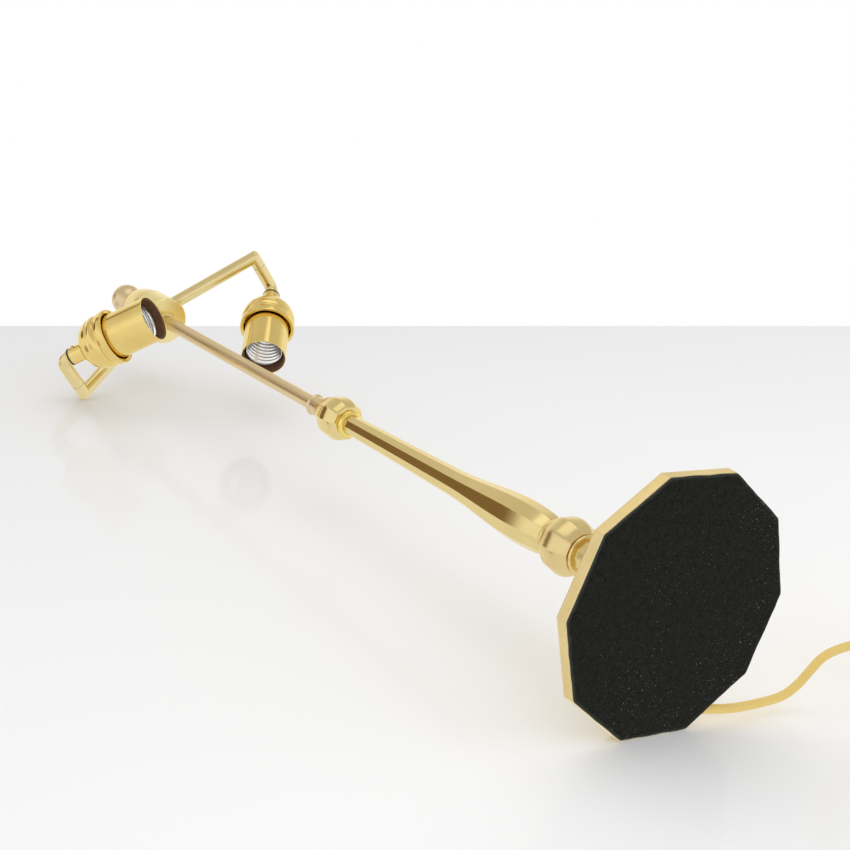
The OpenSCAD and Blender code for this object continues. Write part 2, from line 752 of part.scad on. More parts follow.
module cap(turn, tip) {
    c = cap_start;
    w = shell_wall;
    r = cap_r;
    outer = [[neck_r, neck_start + 0.4], [neck_r, c], [neck_r + 2.4, c + 0.8], [r - 8.2, c + 2.6],
        [r - 5, c + 5.2], [r - 2.7, c + 8.4], [r - 1.6, c + 11], [r - 1.8, c + 12.2],
        [r - 0.9, c + 13.6], [r - 0.5, c + 15.2], [r - 0.9, c + 16.8], [r - 1.7, c + 18.2],
        [r - 0.7, c + 19.6], [r, c + 21.6], [r, c + 24.4], [r - 0.3, skirt_end]];
    inner = [[r - w - 0.3, skirt_end - 0.4], [r - w, c + 21.6], [r - 0.7 - w, c + 20],
        [r - 1.7 - w, c + 18.4], [r - 0.9 - w, c + 16.8], [r - 0.5 - w, c + 15.2],
        [r - 0.9 - w, c + 13.8], [r - 1.8 - w, c + 12.4], [r - 1.6 - w, c + 11.2],
        [r - 2.7 - w, c + 8.8], [r - 5 - w, c + 6], [r - 8.2 - w, c + 3.6],
        [neck_r + 1.8, c + 1.8], [nipple_r, c + 1.6]];
    color("#e0b748") socket_frame(turn, tip) difference() {
        turned(concat([[nipple_r, neck_start], [neck_r - 0.4, neck_start]], outer, inner));
        at_cap_screw() cylinder(r = grub_r, h = neck_r, $fn = smooth);
    }
}

// Seat of the set screw in the cap's neck, Z pointing outward
module at_cap_screw() {
    translate([0, 0, neck_start + neck_len / 2]) rotate([0, 0, 90]) rotate([0, 90, 0]) children();
}

module cap_screw(turn, tip) {
    color("#9c8a4a") socket_frame(turn, tip) at_cap_screw() translate([0, 0, nipple_r])
        difference() {
            cylinder(r = grub_r - 0.05, h = neck_r - nipple_r + 0.8, $fn = smooth);
            translate([-2, -0.25, neck_r - nipple_r]) cube([4, 0.5, 2]);
        }
}

module shell(turn, tip) {
    s = shell_start;
    w = shell_wall;
    color("#e6cd6c") socket_frame(turn, tip) turned([
        [shell_r - w, mouth_reach - 0.3], [shell_r - w / 2, mouth_reach],
        [shell_r, mouth_reach - 0.3], [shell_r, s + 6], [shell_r + 0.9, s + 2.4],
        [shell_r + 0.4, s], [shell_r - w + 0.1, s], [shell_r + 0.4 - w, s + 2.4],
        [shell_r - w, s + 6]
    ]);
}

module liner(turn, tip) {
    color("#6e3f22") socket_frame(turn, tip)
        ring(liner_r, mouth_reach - 1 - core_start, core_start, liner_r - liner_wall);
}

module core(turn, tip) {
    color("#3a2a22") socket_frame(turn, tip) difference() {
        cylinder_between(core_r, core_start, core_end);
        for (s = [-1, 1]) translate([s * terminal_out, 0, core_start - 1])
            cylinder(r = terminal_r, h = terminal_len + 1, $fn = smooth);
        cylinder_between(contact_r + 0.05, core_end - 4, core_end + 1);
    }
}

module cylinder_between(r, z0, z1) {
    translate([0, 0, z0]) cylinder(r = r, h = z1 - z0, $fn = smooth);
}

// The bulb's screw shell: a thin metal tube rolled into a round thread, as rings
module screw_shell(turn, tip) {
    turns = floor((screw_end - screw_start - 2) / screw_pitch);
    steps = turns * 8;
    wave = [for (i = [0:steps]) [
        screw_r + thread_depth * (1 - cos(360 * i / 8)) / 2,
        screw_start + 1 + i * screw_pitch / 8]];
    outside = [for (p = wave) [p[0] + screw_wall, p[1]]];
    inside = [for (i = [steps:-1:0]) wave[i]];
    color("#c9ccce") socket_frame(turn, tip) turned(concat(
        [[contact_r + 3, screw_start], [screw_r + screw_wall, screw_start]], outside,
        [[screw_r + screw_wall, screw_end], [screw_r, screw_end]], inside,
        [[screw_r, screw_start + 0.5], [contact_r + 3, screw_start + 0.5]]));
}

module contact(turn, tip) {
    color("#d0b060") socket_frame(turn, tip) translate([0, 0, core_end - 4]) turned([
        [0, 0], [contact_r, 0], [contact_r, 5], [contact_r - 1, 5.8], [0, 6.2]
    ]);
}

module terminals(turn, tip) {
    color("#c8b070") socket_frame(turn, tip) for (s = [-1, 1])
        translate([s * terminal_out, 0, core_start - 1.4]) difference() {
            union() {
                cylinder(r = terminal_r + 1.2, h = 1.4, $fn = smooth);
                cylinder(r = terminal_r - 0.05, h = terminal_len + 1, $fn = smooth);
            }
            translate([-4, -0.4, -1]) cube([8, 0.8, 1.6]);
        }
}

// ---------------------------------------------------------------- every node

felt_pad();
foot_weight();
foot_shell();
stem_nut();
stem_washer();
stem_nipple();
foot_bead();
lower_ball();
ball_screw();
ball_bead();
column();
column_ring();
knop();
clamp_collar();
rod_guide();
cord_bushing();
cord_clamp();
cord();
cord_coil();
cord_tail();
cord_tie();
plug_body();
plug_blades();
rod();
rod_stop();
thrust_collar();
hub_clip();
hub_body();
hub_bush();
hub_dome();
finial();
arm_tube(0);  // right_arm
elbow(0);  // right_elbow
pivot(0, right_tip);  // right_pivot
washer(0, right_tip);  // right_washer
crank(0, right_tip);  // right_crank
nipple(0, right_tip);  // right_nipple
cap(0, right_tip);  // right_cap
cap_screw(0, right_tip);  // right_cap_screw
shell(0, right_tip);  // right_shell
liner(0, right_tip);  // right_liner
core(0, right_tip);  // right_core
screw_shell(0, right_tip);  // right_screw_shell
contact(0, right_tip);  // right_contact
terminals(0, right_tip);  // right_terminals
arm_tube(180);  // left_arm
elbow(180);  // left_elbow
pivot(180, left_tip);  // left_pivot
washer(180, left_tip);  // left_washer
crank(180, left_tip);  // left_crank
nipple(180, left_tip);  // left_nipple
cap(180, left_tip);  // left_cap
cap_screw(180, left_tip);  // left_cap_screw
shell(180, left_tip);  // left_shell
liner(180, left_tip);  // left_liner
core(180, left_tip);  // left_core
screw_shell(180, left_tip);  // left_screw_shell
contact(180, left_tip);  // left_contact
terminals(180, left_tip);  // left_terminals
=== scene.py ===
# %% [markdown]
# # A two-light swing arm desk lamp in brass
# The lamp has a ten-sided foot, a faceted stand, a thin rod that slides in the stand, and a hub
# with two cranked arms that carry bulb sockets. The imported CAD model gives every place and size.
# This lesson lays smooth skins over it, each one a formula on a grid of points, and gives every
# surface its finish. It lies on a pale table as a dealer would lay it down to show its felt.

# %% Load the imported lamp
import json
import math

import bpy
import numpy as np
from mathutils import Matrix, Vector

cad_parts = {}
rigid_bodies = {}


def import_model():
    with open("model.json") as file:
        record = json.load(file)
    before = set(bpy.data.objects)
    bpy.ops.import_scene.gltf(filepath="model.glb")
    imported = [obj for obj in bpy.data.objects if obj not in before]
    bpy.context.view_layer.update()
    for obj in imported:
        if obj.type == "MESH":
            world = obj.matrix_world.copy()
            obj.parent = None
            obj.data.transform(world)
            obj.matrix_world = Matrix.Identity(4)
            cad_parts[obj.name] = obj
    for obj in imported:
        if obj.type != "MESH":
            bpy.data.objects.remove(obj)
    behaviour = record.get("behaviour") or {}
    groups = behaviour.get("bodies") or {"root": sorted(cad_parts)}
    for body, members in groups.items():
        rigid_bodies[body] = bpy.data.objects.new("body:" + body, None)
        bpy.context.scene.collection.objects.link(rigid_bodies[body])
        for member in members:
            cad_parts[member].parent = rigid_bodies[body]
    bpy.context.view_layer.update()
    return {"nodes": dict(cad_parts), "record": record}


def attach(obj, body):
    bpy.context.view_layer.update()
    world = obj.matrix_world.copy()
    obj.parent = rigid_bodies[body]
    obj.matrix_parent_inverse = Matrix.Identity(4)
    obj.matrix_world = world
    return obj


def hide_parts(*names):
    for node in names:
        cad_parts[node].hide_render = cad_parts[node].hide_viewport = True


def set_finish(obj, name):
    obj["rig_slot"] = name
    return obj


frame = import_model()

# %% [markdown]
# ## The camera
# The lamp is seen from under its foot and a little to one side, with the stem running away from
# the viewer. The camera's three directions are given as vectors, and a matrix with those
# directions as its columns turns it. That is easier to check than three angles.

# %% Place the camera
look = np.array([0.31814, 0.55625, 0.76770])
level = np.array([0.74185, 0.35813, -0.56692])
lens_data = bpy.data.cameras.new("view")
lens_data.lens, lens_data.sensor_width = 74.33, 36
lens_data.clip_start, lens_data.clip_end = 0.01, 50
camera = bpy.data.objects.new("view", lens_data)
bpy.context.scene.collection.objects.link(camera)
axes = np.stack([level, np.cross(level, look), -look], axis=1)
turn = Matrix(axes.tolist()).to_4x4()
camera.matrix_world = Matrix.Translation((-0.32365, -0.61023, -0.58133)) @ turn
bpy.context.scene.camera = camera
print("camera stands at", tuple(round(x, 3) for x in camera.location))

# %% [markdown]
# ## Meshes from grids
# Nearly every part of a lamp is turned, faceted or bent from tube, so one maker serves them all.
# It takes an array of points with one row per ring and joins neighbours into four-sided faces.
# A loop in both directions makes a closed ring, and otherwise both ends are closed with a fan
# about their middle point. The enclosed volume tells whether the faces look outward: where it is
# negative, every face is turned over.

# %% Turn a grid of points into a mesh
MM = 0.001


def grid_faces(rows, cols, loop):
    """Four corners of every face: a point, its neighbour round the ring, and the same two in
    the next ring. Rings close on themselves, and with loop the last ring meets the first."""
    i = np.arange(rows if loop else rows - 1)[:, None]
    j = np.arange(cols)[None, :]
    k, after = (j + 1) % cols, (i + 1) % rows
    return np.stack([i * cols + j, i * cols + k, after * cols + k, after * cols + j], -1).reshape(-1, 4)


def fan(ring, hub):
    """Triangles from the point hub to each pair of neighbours in the ring."""
    return np.stack([np.full(len(ring), hub), ring, np.roll(ring, -1)], -1)


def enclosed(points, faces):
    """Volume from the corners of triangles: a sixth of the sum of a . (b x c)."""
    a, b, c = points[faces[:, 0]], points[faces[:, 1]], points[faces[:, 2]]
    return float((a * np.cross(b, c)).sum() / 6)


def solid(name, grid, body, nodes=(), slot=None, loop=False, crease=38, lengths=None):
    """A closed mesh from grid[ring, place, xyz] in millimetres, riding on a body. With
    lengths, one per ring, it gets a UV map of turns round the ring and metres along it: the
    corners of a face in column j stand at j, j + 1, j + 1 and j over the number of columns."""
    rows, cols = grid.shape[:2]
    points = grid.reshape(-1, 3)
    quads = grid_faces(rows, cols, loop)
    tris = np.zeros((0, 3), int)
    if not loop:
        points = np.vstack([points, grid[0].mean(0), grid[-1].mean(0)])
        tris = np.vstack([fan(np.arange(cols)[::-1], rows * cols),
                          fan(np.arange(cols) + (rows - 1) * cols, rows * cols + 1)])
    halves = np.vstack([quads[:, [0, 1, 2]], quads[:, [0, 2, 3]], tris])
    if enclosed(points, halves) < 0:
        quads, tris = quads[:, ::-1], tris[:, ::-1]
    mesh = bpy.data.meshes.new(name)
    mesh.from_pydata((points * MM).tolist(), [], quads.tolist() + tris.tolist())
    mesh.polygons.foreach_set("use_smooth", np.ones(len(mesh.polygons), bool))
    mesh.set_sharp_from_angle(angle=math.radians(crease))
    if lengths is not None:
        turns = (np.arange(len(quads))[:, None] % cols + np.array([0, 1, 1, 0])) / cols
        sides = np.stack([turns, lengths[quads // cols]], -1).reshape(-1, 2)
        ends = np.stack([np.zeros(tris.size), lengths[np.minimum(tris.ravel() // cols, rows - 1)]], -1)
        mesh.uv_layers.new(name="along").data.foreach_set("uv", np.vstack([sides, ends]).ravel())
    made = bpy.data.objects.new(name, mesh)
    bpy.context.scene.collection.objects.link(made)
    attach(made, body)
    if nodes:
        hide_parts(*nodes)
    if slot:
        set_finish(made, slot)
    return made


# %% [markdown]
# ## The cord
# The cord is gold cloth over two wires, 5.2 mm thick. It leaves the rim, runs along the table and
# is wound into a flat coil of two layers, where each turn keeps its radius and steps one cord
# across in the same short sector. A smooth curve through listed points carries the part in
# sight, and one formula of the angle carries the coil, because nobody could place its turns by hand.

# %% The cord's centre line
CORD = 5.2


def ease(x):
    """0 before 0, 1 after 1, and a smooth S between: 3x squared minus 2x cubed."""
    x = np.clip(x, 0, 1)
    return x * x * (3 - 2 * x)


def through(points, per=12):
    """A smooth curve through points: on each span, a cubic whose slope at a point is half the
    step between that point's two neighbours."""
    p = np.vstack([2 * points[0] - points[1], points, 2 * points[-1] - points[-2]])
    t = np.linspace(0, 1, per, endpoint=False)[None, :, None]
    a, b, c, d = (p[k:len(p) - 3 + k, None] for k in range(4))
    curve = 0.5 * (2 * b + (c - a) * t + (2 * a - 5 * b + 4 * c - d) * t**2
                   + (3 * b - a - 3 * c + d) * t**3)
    return np.vstack([curve.reshape(-1, p.shape[1]), points[-1:]])


def along(points):
    """Distance from the first point, along the line, at every point."""
    return np.append(0, np.cumsum(np.linalg.norm(np.diff(points, axis=0), axis=1)))


def evenly(points, step):
    """The same line with its points a step apart."""
    s = along(points)
    even = np.linspace(0, s[-1], max(3, round(s[-1] / step) + 1))
    return np.stack([np.interp(even, s, points[:, k]) for k in range(3)], -1)


in_sight = np.array([
    [-8.8, 71.9, 4.95], [-5.8, 74.6, 4.8], [-1.5, 78.4, 4.3], [4, 83, 3.4], [11, 88.4, 2.8],
    [19, 94.2, 2.65], [28, 100.2, 2.65], [37, 105.6, 2.65], [45, 108.6, 2.65],
    [54, 109.2, 2.65], [64, 107.8, 2.65], [73, 107.2, 2.65], [82, 109.8, 2.65],
    [94, 116.4, 2.65], [108.1, 126.5, 2.65], [122.3, 137, 2.65]])
tail = np.array([
    [197.4, 113.7, 7.8], [197.4, 106, 7.8], [197.4, 98, 7.75], [197.4, 90, 7.6], [197.4, 82, 7.5]])
coil_middle, coil_mean, first_angle = np.array([161, 113.7]), 31.2, 126
apart, step_turn, climb_at, climb_turn = CORD + 0.06, 70, 1680, 85


def coil_line():
    """Centre line of the coil, over degrees of winding. On the table the cord steps inward four
    times, in the last 70 degrees of a turn, so it lies in five rows. Then it climbs one width,
    and on top it steps outward three times and lies in four rows."""
    wound = np.arange(6, 3000, 12.0)
    inward = sum(ease((wound - 360 * k) / step_turn + 1) for k in range(1, 5))
    outward = sum(ease((wound - climb_at - 360 * k) / step_turn + 1) for k in range(1, 4))
    radius = coil_mean + apart * (2 - inward + outward)
    height = CORD / 2 + 0.05 + apart * ease((wound - climb_at) / climb_turn)
    a = np.radians(first_angle - wound)
    x, y = coil_middle[:, None] + radius * np.stack([np.cos(a), np.sin(a)])
    return np.stack([x, y, height], -1)


cord_line = evenly(through(np.vstack([in_sight, coil_line(), tail])), 1.5)
print("the cord is", round(along(cord_line)[-1] / 1000, 3), "m long")

# %% [markdown]
# ## Tubes
# A tube is a circle carried along a line. At each point the circle stands square to the line.
# Its first direction is kept as upright as the line allows, so the tube doesn't twist.

# %% Carry a circle along a line


def tube_rings(line, radius, places=24):
    """Rings round a line: the point plus radius times cos and sin of the place's angle along
    two directions, both square to the line's own direction."""
    ahead = np.gradient(line, axis=0)
    ahead /= np.linalg.norm(ahead, axis=1, keepdims=True)
    across = np.cross(ahead, [0, 0, 1.0])
    across /= np.linalg.norm(across, axis=1, keepdims=True)
    up = np.cross(across, ahead)
    a = np.linspace(0, 2 * np.pi, places, endpoint=False)
    r = np.broadcast_to(radius, len(line))[:, None, None]
    return line[:, None] + r * (np.cos(a)[None, :, None] * across[:, None]
                                + np.sin(a)[None, :, None] * up[:, None])


cord = solid("cloth_cord", tube_rings(cord_line, CORD / 2), "stand",
             ("cord", "cord_coil", "cord_tail"), "gold_cloth", lengths=along(cord_line) * MM)
print("the cord has", len(cord.data.polygons), "faces")

# %% [markdown]
# ## Outlines and sections
# A turned part is an outline of radius and height spun round the stem. A faceted part is the same
# outline carried round a ten-sided section. Real edges are never knife sharp, so each corner of
# an outline becomes a small arc with a spare point on both sides of it. The spare points keep the
# flats flat: without them the shading of an arc would run out over its neighbours.

# %% Soft corners, and the two sections


def soften(outline, radius, closed=True, steps=4):
    """Each corner c between neighbours p and n becomes the curve (1-t)^2 a + 2t(1-t) c + t^2 b,
    where a and b lie a radius from c towards p and n, with a spare point beyond both."""
    c = np.array(outline, float)
    p, n = np.roll(c, 1, 0), np.roll(c, -1, 0)
    back, on = p - c, n - c
    lb, lo = (np.linalg.norm(v, axis=1, keepdims=True) for v in (back, on))
    reach = np.minimum(radius, 0.3 * np.minimum(lb, lo))
    a, b = c + back / lb * reach, c + on / lo * reach
    t = np.linspace(0, 1, steps)[None, :, None]
    arc = (1 - t)**2 * a[:, None] + 2 * t * (1 - t) * c[:, None] + t**2 * b[:, None]
    spare_a, spare_b = c + back / lb * reach * 1.5, c + on / lo * reach * 1.5
    line = np.concatenate([spare_a[:, None], arc, spare_b[:, None]], 1)
    if closed:
        return line.reshape(-1, 2)
    return np.vstack([c[:1], line[1:-1].reshape(-1, 2), c[-1:]])


def round_section(places=128):
    """Points of a unit circle."""
    a = np.linspace(0, 2 * np.pi, places, endpoint=False)
    return np.stack([np.cos(a), np.sin(a)], -1)


def ten_section(edge):
    """A regular ten-sided outline with corners at radius 1, a flat facing +Y, and each corner
    rounded by an arc of radius edge. The arc's middle lies on the corner's own ray."""
    mid = np.radians(72 + 36 * np.arange(10))[:, None]
    half = math.radians(18)
    a = mid + np.linspace(-half, half, 5)
    centre = 1 - edge / math.cos(half)
    arc = centre * np.stack([np.cos(mid), np.sin(mid)], -1) + edge * np.stack([np.cos(a), np.sin(a)], -1)
    slide = edge * 0.7 * np.stack([-np.sin(a), np.cos(a)], -1)
    before, after = arc[:, :1] - slide[:, :1], arc[:, -1:] + slide[:, -1:]
    return np.concatenate([before, arc, after], 1).reshape(-1, 2)


def spin(outline, section):
    """Ring i of the grid is the section, or section i of a stack, times radius i at height i."""
    outline = np.array(outline, float)
    flat = outline[:, :1, None] * section
    return np.concatenate([flat, np.broadcast_to(outline[:, 1, None, None], (*flat.shape[:2], 1))], -1)


def turned(name, outline, body, nodes, slot, edge):
    """A closed outline with soft corners, spun into a ring."""
    return solid(name, spin(soften(outline, edge), round_section()), body, nodes, slot, loop=True)


print("a ten-sided ring has", len(ten_section(0.012)), "points")

# %% [markdown]
# ## The foot
# The foot is one hollow casting: an upright ten-sided rim, a concave flare that sweeps up to the
# stem, and a short round neck. A grid can pass from ten-sided to round by blending the section
# itself, so the whole shell is one surface with no seam where the neck meets the flare.

# %% The foot's shell
FOOT_R, RIM_H, FOOT_H, NECK_R, WALL = 75.0, 8.4, 74.5, 9.2, 2.2
FLARE_LOW, FLARE_TOP = RIM_H + 0.8, FOOT_H - 13
STEM_HOLE = 4.9


def flare(z):
    """Corner radius of the flare: it falls with the power 2.4 of what is left of its height."""
    left = 1 - (z - FLARE_LOW) / (FLARE_TOP - FLARE_LOW)
    return NECK_R + 1.6 + (FOOT_R - 4.8 - NECK_R - 1.6) * np.clip(left, 0, 1)**2.4


z_out = FLARE_LOW + (FLARE_TOP - 0.6 - FLARE_LOW) * np.linspace(0, 1, 60)**1.4
outside = np.stack([flare(z_out), z_out], -1)
z_in = z_out[(z_out > RIM_H + WALL) & (z_out < FLARE_TOP - 8)][::-1]
inside = np.stack([flare(z_in) - WALL, z_in - WALL], -1)
rim = soften([[FOOT_R - 2.8, 2], [FOOT_R - 1.1, 2], [FOOT_R - 1.1, 1.2], [FOOT_R - 0.6, 1.2],
              [FOOT_R - 0.35, 1.6], [FOOT_R, RIM_H - 0.5], [FOOT_R - 0.6, RIM_H],
              [FOOT_R - 4.1, RIM_H], [FOOT_R - 4.3, RIM_H + 0.25], outside[0]], 0.3, False)
neck = soften([outside[-1], [NECK_R + 1.9, FLARE_TOP - 0.5], [NECK_R + 1.9, FLARE_TOP + 1.4],
               [NECK_R + 0.9, FLARE_TOP + 2.4], [NECK_R, FLARE_TOP + 4.4], [NECK_R, FOOT_H],
               [STEM_HOLE, FOOT_H], [STEM_HOLE, FLARE_TOP - 10.2], inside[0]], 0.4, False)
shell_line = np.vstack([rim[:-1], outside[:-1], neck[:-1], inside, [[FOOT_R - 2.8, RIM_H - WALL]]])
roundness = ease((shell_line[:, 1] - FLARE_TOP + 1.2) / 0.7)
roundness = np.where(shell_line[:, 0] < STEM_HOLE + 0.5, 1, roundness)[:, None, None]
rim_section = ten_section(0.008)
circle = rim_section / np.linalg.norm(rim_section, axis=1, keepdims=True)
blend = (1 - roundness) * rim_section + roundness * circle
foot = solid("foot", spin(shell_line, blend), "stand", ("foot_shell",), "polished_brass", loop=True)
print("foot:", len(foot.data.polygons), "faces")

# %% [markdown]
# ## The felt
# The felt is a stiff black pad with a slightly woolly face and a rounded edge. Its face is a fine
# grid from the middle outwards. Its edge swells over the rim's lip. A sum of random waves, always
# from the same seed, gives it shallow lumps and an edge that wanders a little.

# %% The felt pad
FELT_R, FELT_RINGS = FOOT_R - 1.2, 120


def lumps(x, y, short, long, seed, waves=60):
    """Random heights between about -1 and 1: a sum of cosines over waves in all directions, with
    lengths between short and long and a random start each, over the root of half their number."""
    dice = np.random.default_rng(seed)
    way, start = dice.uniform(0, 2 * np.pi, (2, waves))
    k = 2 * np.pi / dice.uniform(short, long, waves)
    rise = np.cos(k * (x[..., None] * np.cos(way) + y[..., None] * np.sin(way)) + start)
    return rise.sum(-1) / math.sqrt(waves / 2)


felt_line = np.vstack([
    np.stack([np.linspace(0.6, FELT_R - 2.2, FELT_RINGS), np.zeros(FELT_RINGS)], -1),
    [[FELT_R - 1.2, 0.12], [FELT_R - 0.3, 0.28], [FELT_R + 0.4, 0.48], [FELT_R + 0.85, 0.8],
     [FELT_R + 0.75, 1.05], [FELT_R + 0.2, 1.18], [FELT_R, 1.5], [FELT_R, 2]]])
around = np.linspace(0, 2 * np.pi, 440, endpoint=False)
flat_turn = (around - np.radians(72)) % np.radians(36) - np.radians(18)
straight = np.minimum(np.cos(np.radians(18)) / np.cos(flat_turn), 0.9975)
felt_section = np.stack([np.cos(around), np.sin(around)], -1) * straight[:, None]
felt_grid = spin(felt_line, felt_section)
bumps = lumps(felt_grid[..., 0], felt_grid[..., 1], 2.2, 9, seed=11)
wobble = lumps(felt_grid[..., 0], felt_grid[..., 1], 9, 30, seed=5)
felt_grid[:-2, :, 2] += 0.08 + 0.03 * bumps[:-2]
edge = slice(FELT_RINGS - 2, -2)
felt_grid[edge, :, :2] *= 1 + 0.0018 * wobble[edge, :, None]
felt_grid[..., 2] = np.maximum(felt_grid[..., 2], 0)
felt = solid("felt", felt_grid, "stand", ("felt_pad",), "black_felt", crease=180)
print("felt:", len(felt.data.polygons), "faces")

# %% [markdown]
# ## The stand
# Above the foot come a round bead, a ten-sided ball, another bead, the tapered column, a yellow
# ring, a faceted knop and a round collar that guides the rod. Each is bored for the stem or the
# rod, so each outline is a closed loop: up the outside and down the bore.

# %% Beads and the faceted ball
FOOT_BEAD, BALL_BEAD, BALL_R, BALL_FLAT = 2.6, 3.0, 17.0, 12.2
ball_low = FOOT_H + FOOT_BEAD
drop = math.sqrt(BALL_R**2 - BALL_FLAT**2)
ball_mid, ball_high = ball_low + drop, ball_low + 2 * drop


def bead(name, radius, height, z, bore):
    """A half round: radius minus half the height, plus the half height times cos and sin."""
    a = np.radians(np.linspace(-90, 90, 21))
    half = height / 2
    line = np.stack([radius - half + half * np.cos(a), z + half + half * np.sin(a)], -1)
    line = np.vstack([[[bore, z]], line, [[bore, z + height]]])
    return solid(name + "_skin", spin(line, round_section()), "stand", (name,), "polished_brass",
                 loop=True)


bead("foot_bead", 11.5, FOOT_BEAD, FOOT_H, STEM_HOLE)
bead("ball_bead", 11.5, BALL_BEAD, ball_high, STEM_HOLE)
swing = math.asin(drop / BALL_R)
a = np.linspace(-swing, swing, 40)
ball_side = np.stack([BALL_R * np.cos(a), ball_mid + BALL_R * np.sin(a)], -1)
ball_line = np.vstack([[[STEM_HOLE, ball_low]], ball_side, [[STEM_HOLE, ball_high]]])
solid("ball", spin(ball_line, ten_section(0.24)), "stand", ("lower_ball",), "polished_brass", loop=True)
print("the ball's middle is", round(ball_mid, 1), "mm up")

# %% The column
COLUMN_LOW, COLUMN_LEN, BELLY_R, TIP_R = ball_high + BALL_BEAD, 207.0, 13.3, 6.7
SHOULDER, WAIST = 28.0, 66


def column_radius(z):
    """Below the shoulder a quarter of an ellipse. Above it, half a cosine that falls in 66 mm
    and half a slow taper with power 1.5."""
    belly = 10.3 + (BELLY_R - 10.3) * np.sqrt(1 - (1 - np.minimum(z, SHOULDER) / SHOULDER)**2)
    up = np.maximum(z - SHOULDER, 0)
    waist = (1 + np.cos(np.pi * np.minimum(1, up / WAIST))) / 2
    taper = (1 - up / (COLUMN_LEN - SHOULDER))**1.5
    return np.where(z < SHOULDER, belly, TIP_R + (BELLY_R - TIP_R) * (waist + taper) / 2)


up = COLUMN_LEN * np.linspace(0, 1, 150)
column_side = np.stack([column_radius(up), COLUMN_LOW + up], -1)
column_high = COLUMN_LOW + COLUMN_LEN
bore = [[5.6, column_high], [5.3, column_high - 14], [5.3, COLUMN_LOW + 18],
        [STEM_HOLE, COLUMN_LOW + 18], [STEM_HOLE, COLUMN_LOW]]
solid("tapered_column", spin(np.vstack([column_side, bore]), ten_section(0.03)), "stand", ("column",),
      "polished_brass", loop=True)
print("the column ends", round(column_high, 1), "mm up")

# %% Ring, knop and collar
RING_H, KNOP_H, KNOP_R, COLLAR_H, COLLAR_R, ROD_R = 4.0, 30.0, 14.4, 11.5, 6.8, 4.75
knop_low = column_high + RING_H
knop_high, collar_high = knop_low + KNOP_H, knop_low + KNOP_H + COLLAR_H
bead("column_ring", 9.0, RING_H, column_high, 6.7)
knop_side = through(np.array([
    [9.6, 0], [11.6, 0.03], [13.2, 0.12], [14.1, 0.24], [KNOP_R, 0.37], [13.9, 0.51],
    [12.5, 0.66], [10.5, 0.81], [8.6, 0.93], [COLLAR_R + 0.8, 1]])) * [1, KNOP_H] + [0, knop_low]
knop_line = np.vstack([knop_side, [[5.3, knop_high], [5.3, knop_low]]])
solid("faceted_knop", spin(knop_line, ten_section(0.16)), "stand", ("knop",), "polished_brass", loop=True)
flange = collar_high - 1.6
turned("collar", [[ROD_R + 0.05, knop_high], [COLLAR_R, knop_high], [COLLAR_R - 0.2, knop_high + 1],
                  [COLLAR_R - 0.4, flange - 0.6], [COLLAR_R + 0.1, flange], [COLLAR_R + 0.5, flange + 0.8],
                  [COLLAR_R + 0.1, collar_high], [ROD_R + 0.05, collar_high]],
       "stand", ("clamp_collar",), "satin_brass", 0.25)
print("the collar ends", round(collar_high, 1), "mm up")

# %% [markdown]
# ## The rod and the head
# The rod is a long satin tube. The head turns on it: a round hub with a domed lid and a ball on
# top. The hub's outline keeps its hollow, because a solid drum would be the wrong weight and the
# wrong mesh. Everything here rides on its own body, so it follows the rod and the head as they move.

# %% The rod and its thrust collar
HUB_LOW, HUB_R, HUB_SIDE, DOME_H, HUB_WALL = collar_high + 218, 17.5, 24.0, 27.0, 2.4
side_high = HUB_LOW + HUB_SIDE
rod_low, rod_high = collar_high - 72, HUB_LOW + 9
rod_line = np.vstack([np.linspace([ROD_R, rod_low], [ROD_R, rod_high], 40),
                      np.linspace([3.25, rod_high], [3.25, rod_low], 40)])
solid("sliding_rod", spin(rod_line, round_section(96)), "rod", ("rod",), "satin_brass", loop=True)
turned("rod_collar", [[ROD_R, HUB_LOW - 3.2], [6.25, HUB_LOW - 3.2], [7.25, HUB_LOW - 2.4],
                      [7.25, HUB_LOW - 1.3], [ROD_R, HUB_LOW - 1.3]],
       "rod", ("thrust_collar",), "polished_brass", 0.2)
print("the rod shows from", round(collar_high, 1), "to", round(HUB_LOW, 1), "mm")

# %% The hub, its dome and the ball on top
turned("hub_bush_skin", [[4.8, HUB_LOW - 1.2], [8, HUB_LOW - 1.2], [8, HUB_LOW], [6.65, HUB_LOW],
                         [6.65, HUB_LOW + 3.5], [4.8, HUB_LOW + 3.5]],
       "head", ("hub_bush",), "polished_brass", 0.2)
turned("hub_drum", [[6.65, HUB_LOW], [HUB_R - 0.8, HUB_LOW], [HUB_R, HUB_LOW + 0.8], [HUB_R, side_high],
                    [HUB_R - HUB_WALL, side_high], [HUB_R - HUB_WALL, HUB_LOW + 3], [6.65, HUB_LOW + 3]],
       "head", ("hub_body",), "polished_brass", 0.5)


def dome_side(share, wall=0):
    """From the hub's radius to 8.4 mm: the square root of 1 minus the height share to the 1.7."""
    radius = 8.4 + (HUB_R - 8.4) * np.sqrt(1 - share**1.7)
    return np.stack([radius - wall, side_high + DOME_H * share], -1)


